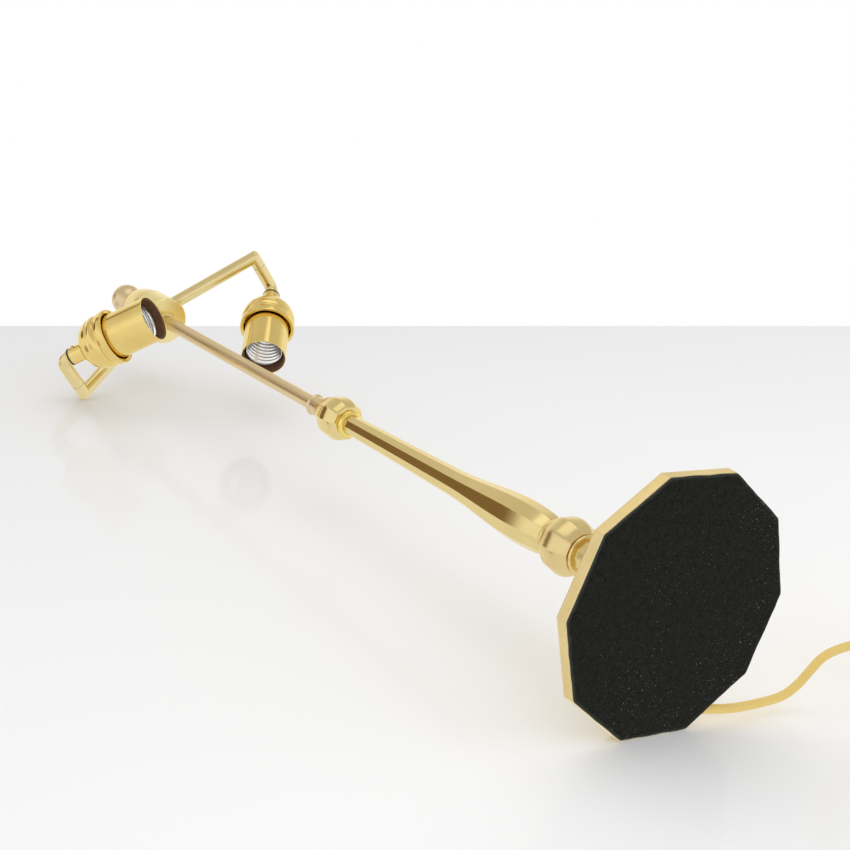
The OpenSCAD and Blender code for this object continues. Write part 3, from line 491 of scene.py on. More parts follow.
dome_out, dome_in = dome_side(np.linspace(0, 1, 40)), dome_side(np.linspace(0.88, 0, 24), HUB_WALL)
dome_high = side_high + DOME_H
dome_line = np.vstack([dome_out, [[3.5, dome_high], [3.5, dome_high - 2.6]], dome_in,
                       [[HUB_R - 2 * HUB_WALL, side_high - 2], [HUB_R - HUB_WALL - 0.05, side_high - 2],
                        [HUB_R - HUB_WALL - 0.05, side_high]]])
solid("dome", spin(dome_line, round_section()), "head", ("hub_dome",), "polished_brass", loop=True)
FINIAL_R, FINIAL_NECK, SUNK = 11.8, 5.0, 0.92
finial_mid = dome_high + FINIAL_NECK + FINIAL_R * SUNK
a = np.linspace(-math.asin(SUNK), math.pi / 2 - 0.02, 50)
ball_top = np.stack([FINIAL_R * np.cos(a), finial_mid + FINIAL_R * np.sin(a)], -1)
stalk = soften([[3.4, dome_high - 2.6], [3.45, dome_high], [6.6, dome_high], [6.9, dome_high + 0.8],
                [6.2, dome_high + 1.6], [4.4, dome_high + 2.6], [4.2, dome_high + FINIAL_NECK - 0.6],
                ball_top[0]], 0.3, False)
solid("finial_ball", spin(np.vstack([stalk[:-1], ball_top]), round_section()), "head", ("finial",),
      "satin_brass")
print("the lamp is", round(finial_mid + FINIAL_R, 1), "mm high")

# %% [markdown]
# ## Arms, elbows and cranks
# Each arm droops from the hub to an elbow, and a crank turns in the elbow and bends down to its
# socket. Places come from one chain of turns and moves, written as matrices in the same order as
# the joints, so the left side is the right side turned by half a turn about the stem.

# %% Matrices for the chain of joints
REACH, DROOP, CRANK, LEAN, HEAD_TURN = 83.7, 18.5, 31.5, 5.0, -2.7
TIP = {"right": 48.6, "left": 37.7}
arm_z = HUB_LOW + 20
elbow_z = arm_z - REACH * math.tan(math.radians(DROOP))


def turn_about(axis, degrees):
    return np.array(Matrix.Rotation(math.radians(degrees), 4, axis))


def move(x, y, z):
    return np.array(Matrix.Translation((x, y, z)))


def carry(grid, matrix):
    """Every point of the grid through the matrix."""
    return grid @ matrix[:3, :3].T + matrix[:3, 3]


def elbow_place(side):
    return turn_about("Z", HEAD_TURN + (180 if side == "left" else 0)) @ move(REACH, 0, elbow_z)


def crank_place(side):
    return elbow_place(side) @ turn_about("Y", -TIP[side])


def socket_place(side):
    return crank_place(side) @ move(0, CRANK, 0) @ turn_about("Z", -LEAN) @ turn_about("Y", -90)


for side in TIP:
    print(side, "socket corner at", socket_place(side)[:3, 3].round(1))

# %% Arms and mitred elbows
ARM_R, STUB, KNUCKLE, CUT, SOFT = 4.75, 8.0, 8.0, 4.6, 0.45
droop = math.radians(DROOP)
arm_long = REACH / math.cos(droop)
toward_hub, toward_crank = np.array([-math.cos(droop), 0, math.sin(droop)]), np.array([0, 1.0, 0])
upward = np.array([math.sin(droop), 0, math.cos(droop)])


def elbow_grid():
    """Rings slide from the arm's end to the mitre and on to the crank's end. A ring's point sits
    r cos a back from the mitre along both tubes and r sin a up, and a ring that has not reached
    the mitre is pushed away from it along its own tube. What is past the cut is laid back by the
    log of 1 plus e to the distance over SOFT, times SOFT, which rounds the edge of the cut."""
    a = np.linspace(0, 2 * np.pi, 96, endpoint=False)[None]
    out, up = ARM_R * np.cos(a), ARM_R * np.sin(a)
    s = np.linspace(-1, 1, 81)[:, None]
    back = np.where(s < 0, -out + (STUB + out) * -s, -out)
    ahead = np.where(s > 0, -out + (KNUCKLE + out) * s, -out)
    grid = back[..., None] * toward_hub + ahead[..., None] * toward_crank + (up + 0 * s)[..., None] * upward
    outer = -(toward_hub + toward_crank) / math.sqrt(2)
    past = (grid @ outer - CUT) / SOFT
    return grid - (SOFT * np.logaddexp(0, past))[..., None] * outer


arm_line = toward_hub * np.linspace(STUB, arm_long - HUB_R + 3, 30)[:, None]
for side in TIP:
    place = elbow_place(side)
    solid(side + "_arm_tube", carry(tube_rings(arm_line, ARM_R, 96), place), "head",
          (side + "_arm",), "polished_brass")
    solid(side + "_elbow_skin", carry(elbow_grid(), place), "head",
          (side + "_elbow",), "polished_brass", crease=50)
print("each arm is", round(arm_long, 1), "mm long to its elbow")

# %% Cranks
START, BEND_R, RING_LONG, NECK_LOW = 8.5, 6.0, 2.0, 8.6
bend, lean = math.radians(90 - LEAN), math.radians(LEAN)
bend_at = CRANK - BEND_R * math.tan(bend / 2)
t = np.linspace(0, bend, 24)[1:]
straight_run = np.linspace([0, START, 0], [0, bend_at, 0], 14)
round_run = np.stack([BEND_R * (np.cos(t) - 1), bend_at + BEND_R * np.sin(t), 0 * t], -1)
end = [[-BEND_R * math.cos(lean), CRANK + BEND_R * math.sin(lean), 0]]
crank_line = np.vstack([straight_run, round_run, end])
ring_line = [[3.45, 0], [ARM_R + 0.6, 0], [ARM_R + 1.1, 0.6], [ARM_R + 1.1, RING_LONG - 0.4],
             [ARM_R + 0.7, RING_LONG], [3.45, RING_LONG]]
gap_line = [[3.5, NECK_LOW - 0.6], [6.5, NECK_LOW - 0.6], [6.5, NECK_LOW + 0.9], [3.5, NECK_LOW + 0.9]]
ring_grid = spin(soften(ring_line, 0.2), round_section(96)) + [0, 0, BEND_R]
gap_grid = spin(soften(gap_line, 0.1), round_section(96))
for side in TIP:
    crank, lamp, place = (side + "_crank",), side + "_lamp", socket_place(side)
    solid(side + "_crank_bar", carry(tube_rings(crank_line, ARM_R, 96), crank_place(side)), lamp, crank,
          "polished_brass")
    solid(side + "_crank_ring", carry(ring_grid, place), lamp, crank, "socket_brass", loop=True)
    solid(side + "_gap_washer", carry(gap_grid, place), lamp, (), "dark_plastic", loop=True)
print("each crank's bar is", round(along(crank_line)[-1], 1), "mm long")

# %% [markdown]
# ## The sockets
# A socket is a stack of thin shells on one axis: the cap with its neck, a rolled bead and a band
# whose lip turns in, the plain shell with its rolled foot, a tube of brown fibre, and the
# aluminium screw shell. The screw thread is a true helix: its radius follows the cosine of height
# over pitch minus the turn, so one grid makes the whole thread.

# %% Caps, shells and liners
MOUTH, SHELL_R, CAP_R, THIN = 80.0, 16.6, 20.6, 0.6
cap_low = NECK_LOW + 11.5
shell_low = cap_low + 9.5
cap_side = np.array([
    [8.8, 0.8], [12.4, 2.8], [15.6, 5.6], [17.9, 9.2], [19, 12.1], [18.8, 13.4], [19.7, 15],
    [20.1, 16.7], [19.7, 18.5], [18.9, 20], [19.9, 21.6], [CAP_R, 23.8], [CAP_R, 26.8],
    [CAP_R - 0.3, 27.5]]) + [0, cap_low]
cap_lip = np.array([
    [CAP_R - 0.9, 27.4], [SHELL_R + 1.5, 26.8], [SHELL_R + 1.1, 26.2], [SHELL_R + 1.1, 25.4],
    [CAP_R - 1.4, 24.8]]) + [0, cap_low]
cap_loop = np.vstack([
    [[6, NECK_LOW], [6.4, NECK_LOW + 0.4], [6.4, cap_low]], cap_side, cap_lip,
    cap_side[10::-1] + [-THIN, 0.3], [[3.4, cap_low + 1.6], [3.4, NECK_LOW]]])
shell_loop = [
    [SHELL_R - THIN, MOUTH - 0.3], [SHELL_R - 0.3, MOUTH], [SHELL_R, MOUTH - 0.3],
    [SHELL_R, shell_low + 6], [SHELL_R + 0.9, shell_low + 2.4], [SHELL_R + 0.4, shell_low],
    [SHELL_R - 0.5, shell_low], [SHELL_R - 0.2, shell_low + 2.4], [SHELL_R - THIN, shell_low + 6]]
liner_loop = [[15.9, shell_low + 3], [15.9, MOUTH - 1], [15.2, MOUTH - 1], [15.2, shell_low + 3]]
for side in TIP:
    for name, outline, finish, edge in (("cap", cap_loop, "socket_brass", 1.2),
                                        ("shell", shell_loop, "socket_brass", 0.5),
                                        ("liner", liner_loop, "brown_fibre", 0.15)):
        grid = carry(spin(soften(outline, edge), round_section()), socket_place(side))
        solid(f"{side}_{name}_skin", grid, side + "_lamp", (f"{side}_{name}",), finish, loop=True)
print("a shell is", 2 * SHELL_R, "mm across")

# %% The screw shells
SCREW_R, PITCH, DEPTH, SHEET = 12.8, 3.6, 1.5, 0.35
SCREW_LOW, SCREW_HIGH = shell_low + 15.1, MOUTH - 6.5


def thread(z, a):
    """Screw radius plus half the depth times 1 minus cos of (height / pitch - turn), faded out
    over the first 3 mm and the last 1.5 mm so that both ends are round."""
    fade = ease((z - SCREW_LOW) / 3) * ease((SCREW_HIGH - z) / 1.5)
    return SCREW_R + fade * DEPTH * (1 - np.cos(2 * np.pi * z / PITCH - a)) / 2


def screw_grid():
    """The floor's ring, the wall's outside going up and its inside coming down."""
    z = np.linspace(SCREW_LOW + 0.5, SCREW_HIGH, 190)[:, None]
    a = np.linspace(0, 2 * np.pi, 96, endpoint=False)[None]
    wall = thread(z, a)
    up = np.stack([(wall + SHEET) * np.cos(a), (wall + SHEET) * np.sin(a), z + 0 * a], -1)
    down = np.stack([wall * np.cos(a), wall * np.sin(a), z + 0 * a], -1)[::-1]
    floor = spin([[7, SCREW_LOW + 0.5], [7, SCREW_LOW], [SCREW_R + SHEET, SCREW_LOW]], round_section(96))
    return np.concatenate([floor, up, down])


for side in TIP:
    solid(side + "_thread", carry(screw_grid(), socket_place(side)), side + "_lamp",
          (side + "_screw_shell",), "screw_aluminium", loop=True)
print("the thread has", int((SCREW_HIGH - SCREW_LOW) / PITCH), "turns")

# %% [markdown]
# ## The plug and the tie
# The plug is a small moulded block that swells from the cord's end. Its section is a superellipse,
# which passes from round at the neck to a rounded oblong at the body by changing its power. The tie
# is a flat band round the coil, carried along a closed line that hugs the coil's section.

# %% The plug's body
PLUG = np.array([197.4, 85.7, 7.5])


def plug_grid():
    """Half width, half height and power at each station, and a point at cos and sin of the angle,
    each raised to 2 over the power with its sign kept."""
    s = np.array([0, 2, 5, 8, 11, 14, 17, 19, 20.5, 22, 24, 30, 38, 44, 46.5, 47.6, 48.0])
    wide = np.array([3.3, 3.4, 3.6, 3.9, 4.2, 4.6, 5.2, 6.2, 8.2, 10.6, 12.2, 13, 13, 12.8, 12.4, 11.8, 10.6])
    tall = np.array([3.3, 3.4, 3.6, 3.9, 4.2, 4.6, 5, 5.5, 6.1, 6.7, 7.1, 7.35, 7.4, 7.3, 7.1, 6.8, 5.9])
    power = np.interp(s, [0, 17, 24, 48], [2, 2, 3.6, 4.2])[:, None]
    a = np.linspace(0, 2 * np.pi, 72, endpoint=False)[None]
    x = np.sign(np.cos(a)) * np.abs(np.cos(a))**(2 / power) * wide[:, None]
    z = np.sign(np.sin(a)) * np.abs(np.sin(a))**(2 / power) * tall[:, None]
    ribs = 1 - 0.05 * ((s > 1) & (s < 17) & (np.arange(len(s)) % 2 == 0))[:, None]
    return np.stack([PLUG[0] + x * ribs, PLUG[1] - s[:, None] + 0 * a, PLUG[2] + z * ribs], -1)


plug = solid("plug", plug_grid(), "stand", ("plug_body",), "gold_plastic", crease=60)
print("plug:", len(plug.data.polygons), "faces")

# %% The tie round the coil
TIE_WIDE, TIE_THICK, TIE_TURN = 7.0, 0.9, -110
tie_high, near_r, far_r = 2 * CORD + 0.2, coil_mean - 13.1, coil_mean + 13.1
tie_line = soften([[near_r, 0], [far_r, 0], [far_r, CORD + 0.6], [far_r - CORD + 0.6, tie_high],
                   [near_r, tie_high]], 1.8, steps=6)
ahead = np.roll(tie_line, -1, 0) - np.roll(tie_line, 1, 0)
outward = np.stack([ahead[:, 1], -ahead[:, 0]], -1) / np.linalg.norm(ahead, axis=1, keepdims=True)
band = soften(np.array([[-0.5, 0], [0.5, 0], [0.5, 1], [-0.5, 1]]) * [TIE_WIDE, TIE_THICK], 0.3)
out = tie_line[:, None] + outward[:, None] * band[None, :, 1:]
width = np.broadcast_to(band[None, :, 0], out.shape[:2])
tie_grid = np.stack([out[..., 0], width, np.maximum(out[..., 1], 0.02)], -1)
tie = solid("tie", carry(tie_grid, move(*coil_middle, 0) @ turn_about("Z", TIE_TURN)), "stand",
            ("cord_tie",), "dark_tie", loop=True)
print("tie:", len(tie.data.polygons), "faces")

print("the cord ends in its plug")

# %% [markdown]
# ## Writing finishes as sums
# A finish is a small network of nodes. Wiring it by hand hides the idea, so a socket is wrapped in
# a class that knows how to add, subtract and multiply: an expression on values becomes Math nodes.
# Every other node comes from one method, which sets the node up before it fills its sockets.

# %% A wrapped socket and a finish
FINISHES = {}


class Wire:
    """One output of a node that can be used in arithmetic."""

    def __init__(self, finish, socket):
        self.finish, self.socket = finish, socket

    def _with(self, kind, first, second):
        return self.finish.node("ShaderNodeMath", {0: first, 1: second}, operation=kind)

    def __add__(self, other): return self._with("ADD", self, other)
    def __radd__(self, other): return self._with("ADD", other, self)
    def __sub__(self, other): return self._with("SUBTRACT", self, other)
    def __rsub__(self, other): return self._with("SUBTRACT", other, self)
    def __mul__(self, other): return self._with("MULTIPLY", self, other)
    def __rmul__(self, other): return self._with("MULTIPLY", other, self)
    def __gt__(self, other): return self._with("GREATER_THAN", self, other)


class Finish:
    """A material, or another tree of nodes, that is written as expressions."""

    def __init__(self, name, tree=None):
        if tree is None:
            material = FINISHES[name] = bpy.data.materials.new(name)
            material.use_nodes = True
            tree = material.node_tree
        self.tree = tree
        self.tree.nodes.clear()

    def node(self, kind, values=None, out=0, stops=None, **settings):
        made = self.tree.nodes.new(kind)
        for key, value in settings.items():
            setattr(made, key, value)
        if stops:
            ramp = made.color_ramp.elements
            for place, colour in stops[len(ramp):]:
                ramp.new(place)
            for element, (place, colour) in zip(ramp, stops):
                element.position, element.color = place, (*colour, 1)
        for key, value in (values or {}).items():
            if isinstance(value, Wire):
                self.tree.links.new(value.socket, made.inputs[key])
            else:
                made.inputs[key].default_value = value
        return Wire(self, made.outputs[out])

    def end(self, surface, kind="ShaderNodeOutputMaterial"):
        self.tree.links.new(surface.socket, self.tree.nodes.new(kind).inputs[0])

    def top(self, one, two):
        """The greater of two values."""
        return self.node("ShaderNodeMath", {0: one, 1: two}, operation="MAXIMUM")

    def dot(self, one, two):
        """How far one vector reaches along another, times the other's length."""
        return self.node("ShaderNodeVectorMath", {0: one, 1: two}, out="Value", operation="DOT_PRODUCT")

    def place(self, scale=(1, 1, 1), uv=False):
        """The point on the surface, in metres times scale. With uv, turns and metres along."""
        source = (self.node("ShaderNodeUVMap", uv_map="along") if uv
                  else self.node("ShaderNodeTexCoord", out="Object"))
        return self.node("ShaderNodeVectorMath", {0: source, 1: scale}, operation="MULTIPLY")

    def noise(self, where, scale=1.0, detail=3.0, rough=0.5):
        return self.node("ShaderNodeTexNoise", {"Vector": where, "Scale": scale, "Detail": detail,
                                                "Roughness": rough}, out="Fac")

    def between(self, share, a, b):
        """Colour a where share is 0 and b where it is 1."""
        return self.node("ShaderNodeMix", {"Factor": share, 6: (*a, 1) if isinstance(a, tuple) else a,
                                           7: (*b, 1) if isinstance(b, tuple) else b}, out=2,
                         data_type="RGBA", clamp_factor=True)

    def bump(self, height, depth):
        return self.node("ShaderNodeBump", {"Height": height, "Distance": depth})

    def done(self, **sockets):
        values = {name.replace("_", " "): value for name, value in sockets.items()}
        self.end(self.node("ShaderNodeBsdfPrincipled", values))


# %% [markdown]
# ## Brass
# Polished brass is not one colour. Its lacquer leaves broad patches a shade deeper, and polishing
# leaves hairlines along the way that the wheel ran: round a turned part, and lengthwise on a
# facet or a rod. Hairlines are noise on coordinates that are squeezed one way. They vary the
# roughness and give a faint bump, so reflections stay crisp across them and smear along them.

# %% Brass finishes


def brass(name, light, deep, rough, hairs, hair_depth=1.2e-6, patch=0.5, specks=0.0):
    """Base colour runs from light to deep with broad and fine noise, roughness is rough plus a
    share of the broad noise and of the hairlines, and the hairlines are the bump. Specks are
    small dark pits where a fine noise is above 0.7."""
    f = Finish(name)
    hair = f.noise(f.place(hairs), 1, 4, 0.65)
    broad = f.noise(f.place(), 38, 4, 0.55)
    fine = f.noise(f.place(), 420, 3, 0.6)
    stain = (broad - 0.38) * (2.4 * patch) + (fine - 0.5) * (0.5 * patch)
    colour = f.between(stain, light, deep)
    if specks:
        dots = (f.noise(f.place(), 900, 2, 0.5) > 0.70) * specks
        colour = f.between(dots, colour, tuple(0.45 * x for x in deep))
    worn = rough + (broad - 0.5) * 0.10 + (hair - 0.5) * 0.12
    f.done(Base_Color=colour, Metallic=1.0, Roughness=worn, Normal=f.bump(hair, hair_depth),
           Specular_Tint=(1.0, 0.95, 0.82, 1))


ALONG = (2600, 2600, 30)
ROUND = (60, 60, 5200)
CLOUDY = (900, 900, 900)
brass("polished_brass", (0.80, 0.645, 0.30), (0.70, 0.535, 0.215), 0.16, ALONG)
brass("cast_brass", (0.79, 0.63, 0.31), (0.66, 0.50, 0.21), 0.24, CLOUDY, 4e-6, 0.8, 0.25)
brass("socket_brass", (0.84, 0.645, 0.235), (0.72, 0.525, 0.165), 0.14, CLOUDY, 8e-7, 0.8)
brass("bright_ring", (0.88, 0.70, 0.20), (0.80, 0.60, 0.15), 0.12, ROUND)
brass("bright_hub", (0.88, 0.76, 0.38), (0.80, 0.66, 0.29), 0.24, CLOUDY, 1e-6, 0.5)
brass("arm_brass", (0.80, 0.66, 0.34), (0.69, 0.54, 0.24), 0.20, (400, 400, 400), 1e-6, 0.6)
brass("satin_brass", (0.76, 0.605, 0.37), (0.68, 0.52, 0.29), 0.31, ALONG, 1e-7, 0.5)
brass("plain_brass", (0.72, 0.58, 0.28), (0.60, 0.46, 0.20), 0.30, ROUND, 3e-6)
print("finishes so far:", sorted(FINISHES))

# %% [markdown]
# ## The other metals
# The thread is bright rolled aluminium, the fasteners are zinc plated steel, and the weight is a
# rough casting. They use the same parts as the brass: broad noise for colour, fine noise for
# roughness, and a bump whose depth in metres says how rough the metal is to the touch.

# %% Aluminium, steel and iron


def metal(name, light, deep, rough, grain, depth, metallic=1.0):
    """Broad noise mixes the two colours, and fine noise moves the roughness and is the bump."""
    f = Finish(name)
    fine = f.noise(f.place(grain), 1, 4, 0.6)
    broad = f.noise(f.place(), 60, 3)
    f.done(Base_Color=f.between(broad, light, deep), Metallic=metallic,
           Roughness=rough + (fine - 0.5) * 0.2, Normal=f.bump(fine, depth))


metal("screw_aluminium", (0.95, 0.95, 0.95), (0.86, 0.86, 0.87), 0.16, CLOUDY, 5e-7)
metal("zinc_steel", (0.66, 0.67, 0.67), (0.52, 0.53, 0.55), 0.32, CLOUDY, 2e-6)
metal("dark_steel", (0.09, 0.07, 0.045), (0.045, 0.035, 0.025), 0.4, CLOUDY, 2e-6, 0.8)
metal("cast_iron", (0.16, 0.16, 0.165), (0.08, 0.08, 0.085), 0.6, (1500, 1500, 1500), 1e-4, 0.9)
print("metals done")

# %% [markdown]
# ## Felt, fibre and moulded parts
# Felt is a mat of black fibres with pale lint caught in it. Two noises of different scale give the
# mat, and the few highest points of a third give the lint. The lint is made thicker towards one
# side as a painted sheen, standing in for the light the felt catches there. The fibre
# liner is a matt brown board rolled into a tube, with streaks that run along it.

# %% Felt
f = Finish("black_felt")
mat = f.noise(f.place(), 850, 4, 0.8)
clumps = f.noise(f.place(), 260, 4, 0.6)
drift = f.noise(f.place(), 22, 3, 0.5)
# Painted sheen: more lint towards one side paints the felt paler there, standing in for grazing light.
painted_sheen_side = f.dot(f.place(), (1.2, 9, 0))
high = f.noise(f.place(), 780, 2, 0.5) - 0.685 + (drift - 0.5) * 0.22 + painted_sheen_side * 0.045
lint_and_sheen = f.top(high * 14, 0.0)
rise = f.node("ShaderNodeSeparateXYZ", {0: f.place((1000, 1000, 1000))}, out="Z")
brim = f.top((rise - 0.2) * 0.5, 0.0)
grain = (clumps - 0.5) * 1.2 + (mat - 0.5) * 3.2 + 0.5
tone = f.between(grain, (0.0040, 0.0046, 0.0034), (0.0225, 0.0245, 0.0190))
# Lint, the painted sheen and the edge rising over the rim all mix the felt towards pale grey.
dust_and_sheen = f.between(lint_and_sheen * 0.8 + brim, tone, (0.24, 0.255, 0.215))
f.done(Base_Color=dust_and_sheen, Roughness=0.95, Normal=f.bump(mat * 0.5 + clumps * 0.5, 0.0025),
       Sheen_Weight=0.012, Sheen_Roughness=0.5, Sheen_Tint=(0.8, 0.85, 0.75, 1), Specular_IOR_Level=0.15)
print("felt done")

# %% Fibre, phenolic, nylon and plastics


def moulded(name, light, deep, rough, grain, depth):
    """As for a metal, but the fine noise also takes a share of the colour."""
    f = Finish(name)
    fine = f.noise(f.place(grain), 1, 4, 0.6)
    broad = f.noise(f.place(), 90, 3)
    f.done(Base_Color=f.between(broad * 0.7 + fine * 0.3, light, deep),
           Roughness=rough + (fine - 0.5) * 0.15, Normal=f.bump(fine, depth))


moulded("brown_fibre", (0.20, 0.095, 0.045), (0.10, 0.045, 0.022), 0.55, (1200, 1200, 300), 3e-5)
moulded("dark_phenolic", (0.07, 0.045, 0.035), (0.035, 0.022, 0.018), 0.4, CLOUDY, 1e-5)
moulded("white_nylon", (0.80, 0.78, 0.70), (0.70, 0.68, 0.60), 0.45, CLOUDY, 1e-5)
moulded("dark_plastic", (0.045, 0.045, 0.045), (0.025, 0.025, 0.025), 0.4, CLOUDY, 1e-5)
moulded("gold_plastic", (0.62, 0.43, 0.13), (0.52, 0.34, 0.09), 0.3, CLOUDY, 1e-5)
moulded("dark_tie", (0.05, 0.04, 0.03), (0.025, 0.02, 0.015), 0.85, (3000, 3000, 3000), 2e-4)
print("moulded finishes done")

# %% [markdown]
# ## Gold cloth for the cord
# The cover is braided: two families of threads wind round the cord in opposite directions. On the
# cord's own map, one direction counts turns and the other metres, so a thread is a stripe of turns
# plus or minus metres. The higher of the two families shows, and their crossings make the braid.

# %% The braid
f = Finish("gold_cloth")
round_it = f.node("ShaderNodeSeparateXYZ", {0: f.place(uv=True)}, out="X")
along_it = f.node("ShaderNodeSeparateXYZ", {0: f.place(uv=True)}, out="Y")


def strands(sign, count=10, pitch=95):
    """One family of threads: the absolute sine of pi times count times the turns plus or minus
    half the pitch times the metres, so that count threads stand side by side in a turn."""
    half_turns = (round_it * count + along_it * (sign * pitch * count / 2)) * math.pi
    wave = f.node("ShaderNodeMath", {0: half_turns}, operation="SINE")
    return f.node("ShaderNodeMath", {0: wave}, operation="ABSOLUTE")


braid = f.top(strands(1), strands(-1))
fibre = f.noise(f.place((2500, 2500, 2500)), 1, 4, 0.7)
faded = f.noise(f.place(), 45, 3)
thread_tone = f.between(braid * 0.75 + fibre * 0.25, (0.62, 0.39, 0.08), (1.0, 0.76, 0.25))
f.done(Base_Color=f.between((faded - 0.4) * 1.2, thread_tone, (0.90, 0.63, 0.17)), Roughness=0.6,
       Normal=f.bump(braid + fibre * 0.3, 0.00035), Sheen_Weight=0.12, Sheen_Roughness=0.4,
       Sheen_Tint=(1.0, 0.85, 0.5, 1))
print("cord cover done")

# %% [markdown]
# ## Giving every part its finish
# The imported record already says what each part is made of, so a part takes the finish of its
# record slot unless a piece asks for its own. A CAD node whose shape is right as it is, such as a
# washer or a clip, keeps its mesh and only gets the finish.

# %% Dress the nodes and the new pieces
slot_of = {p["node"]: p["material_slot"] for p in frame["record"]["subparts"]}
arm_like = {side + part: "arm_brass" for side in TIP for part in ("_arm_tube", "_elbow_skin", "_crank_bar")}
own = {**arm_like, "foot": "cast_brass", "column_ring_skin": "bright_ring", "hub_bush_skin": "bright_ring",
       "hub_drum": "bright_hub", "ball": "cast_brass"}
for node_name, thing in frame["nodes"].items():
    thing.data.materials.clear()
    thing.data.materials.append(FINISHES[slot_of[node_name]])
for thing in bpy.data.objects:
    if thing.type == "MESH" and thing.name not in frame["nodes"]:
        thing.data.materials.clear()
        thing.data.materials.append(FINISHES[own.get(thing.name, thing.get("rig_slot"))])

# %% [markdown]
# ## The table and the floor
# The lamp lies on its side, so the table is a plane that touches the rim's lowest edge and the
# left elbow. Both it and the floor under the standing lamp are one-sided: seen from behind they are
# clear, so neither hides the lamp from any side. Only the camera sees them, because the felt would
# go dark if they kept its light away.

# %% A one-sided pale surface
rim_a, rim_b = np.array([-60.7, 44.1, 4.0]), np.array([-23.2, 71.3, 4.0])
far_point = np.array([-86.3, 8.0, elbow_z - 3.6])
normal = np.cross(rim_b - rim_a, far_point - rim_a)
normal /= np.linalg.norm(normal)
if normal @ (np.array([0, 0, 300.0]) - rim_a) < 0:
    normal = -normal
eye = np.array(camera.location) / MM


def on_table(right, down):
    """Where the sight line that leaves the camera right and down of its middle, as slopes,
    meets the table."""
    ray = look + right * level + down * np.cross(look, level)
    return eye + ray * ((rim_a - eye) @ normal) / (ray @ normal)


EDGE = -0.0564
corners = [on_table(-0.9, EDGE), on_table(0.9, EDGE), on_table(0.9, 0.42), on_table(-0.9, 0.42)]


def pale(name, far, near, rough, start, stop):
    """A pale surface whose tone runs from far to near between two points, clear from behind. Where
    far and near differ, that run is painted shade. The share of the way is (point - start) . way
    over the way's length squared."""
    f = Finish(name)
    way = (stop - start) / ((stop - start) @ (stop - start))
    share = f.dot(f.place(), tuple(way / MM)) - float(start @ way)
    surface = f.node("ShaderNodeBsdfPrincipled", {
        "Base Color": f.between(share, far, near), "Roughness": rough, "IOR": 1.16})
    clear = f.node("ShaderNodeBsdfTransparent")
    behind = f.node("ShaderNodeNewGeometry", out="Backfacing")
    f.end(f.node("ShaderNodeMixShader", {0: behind, 1: surface, 2: clear}))
    return FINISHES[name]


def plane(name, points, facing, material):
    """A flat stage piece whose face looks along facing, seen by the camera alone."""
    points = np.array(points) * MM
    if np.cross(points[1] - points[0], points[2] - points[1]) @ facing < 0:
        points = points[::-1]
    mesh = bpy.data.meshes.new(name)
    mesh.from_pydata(points.tolist(), [], [[0, 1, 2, 3]])
    mesh.materials.append(material)
    made = bpy.data.objects.new(name, mesh)
    bpy.context.scene.collection.objects.link(made)
    made.visible_diffuse = made.visible_glossy = made.visible_transmission = made.visible_shadow = False


# Painted shade: the table is grey at its far edge and white near the camera, where light falls off across it.
table_top = pale("table_top", (0.78, 0.78, 0.785), (1.0, 1.0, 1.0), 0.10,
                 on_table(-0.24, EDGE), on_table(0.18, 0.16))
plane("table", corners, normal, table_top)
wide, down = 2500, -0.6
floor_top = pale("floor_top", (0.86, 0.86, 0.86), (0.86, 0.86, 0.86), 0.5,
                 np.array([0, 0, 0.0]), np.array([0, 1, 0.0]))
plane("floor", [[-wide, -wide, down], [wide, -wide, down], [wide, wide, down], [-wide, wide, down]],
      np.array([0, 0, 1]), floor_top)
print("the table leans", round(math.degrees(math.asin(abs(normal[2]))), 2), "degrees from the stem")

# %% [markdown]
# ## Soft light all round
# Polished metal shows its surroundings, so the light is mostly a bright room: white walls near the
# table's level, a softer ceiling and a pale table. A dark door, shelf and chair stand in it, and
# their brown reflections run down a facet of the column, the rod and the sockets. A camera ray
# sees plain white.

# %% The room
world = bpy.data.worlds.new("room")
bpy.context.scene.world = world
world.use_nodes = True
room = Finish("room", world.node_tree)
toward = room.node("ShaderNodeTexCoord", out="Generated")


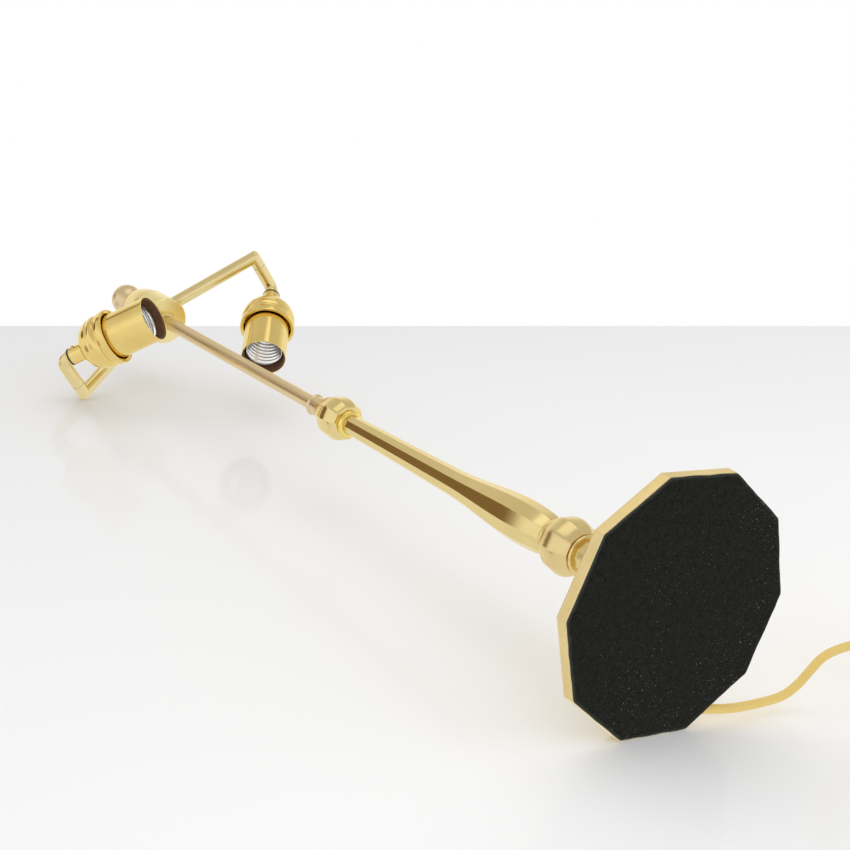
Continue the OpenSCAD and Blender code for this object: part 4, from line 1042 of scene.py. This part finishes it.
def toward_share(direction, inner, outer):
    """1 within inner degrees of a direction, 0 beyond outer degrees, smooth between."""
    near = room.dot(toward, tuple(np.array(direction) / np.linalg.norm(direction)))
    return room.node("ShaderNodeMapRange", {0: near, 1: math.cos(math.radians(outer)),
                     2: math.cos(math.radians(inner)), 3: 0.0, 4: 1.0}, interpolation_type="SMOOTHSTEP")


height = room.dot(toward, tuple(normal))
sky = room.node("ShaderNodeValToRGB", {0: height * 0.5 + 0.5}, stops=[
    (0.0, (0.86, 0.86, 0.85)), (0.44, (0.92, 0.92, 0.92)), (0.52, (1.0, 1.0, 1.0)),
    (0.62, (1.0, 1.0, 1.0)), (0.76, (0.72, 0.70, 0.66)), (1.0, (0.62, 0.60, 0.56))])
door = toward_share((-0.41, -0.40, 0.82), 11.5, 14)
shelf = toward_share((-0.08, -0.56, 0.825), 6, 11)
chair = toward_share((-0.93, -0.05, 0.36), 7, 12)
seen = room.between(shelf * 0.8, room.between(door, sky, (0.21, 0.13, 0.055)), (0.24, 0.15, 0.06))
seen = room.between(chair * 0.75, seen, (0.27, 0.16, 0.055))
reflected = room.node("ShaderNodeBackground", {0: seen, 1: 1.05})
plain = room.node("ShaderNodeBackground", {0: (1, 1, 1, 1), 1: 1.0})
soft = room.node("ShaderNodeBackground", {0: (1, 1, 1, 1), 1: 0.9})
is_camera = room.node("ShaderNodeLightPath", out="Is Camera Ray")
is_diffuse = room.node("ShaderNodeLightPath", out="Is Diffuse Ray")
light = room.node("ShaderNodeMixShader", {0: is_diffuse, 1: reflected, 2: soft})
room.end(room.node("ShaderNodeMixShader", {0: is_camera, 1: light, 2: plain}), "ShaderNodeOutputWorld")
bpy.context.scene.view_settings.view_transform = "Standard"
print("the room is lit")

# %% A soft lamp over the table
box_light = bpy.data.lights.new("soft_box", "AREA")
box_light.energy, box_light.size = 1.4, 0.9
soft_box = bpy.data.objects.new("soft_box", box_light)
bpy.context.scene.collection.objects.link(soft_box)
soft_box.location = (normal * 1.1 + [0, 0, 0.45]).tolist()
soft_box.rotation_mode = "QUATERNION"
soft_box.rotation_quaternion = Vector((-normal).tolist()).to_track_quat("-Z", "Y")
print("the soft box hangs at", tuple(round(x, 2) for x in soft_box.location))
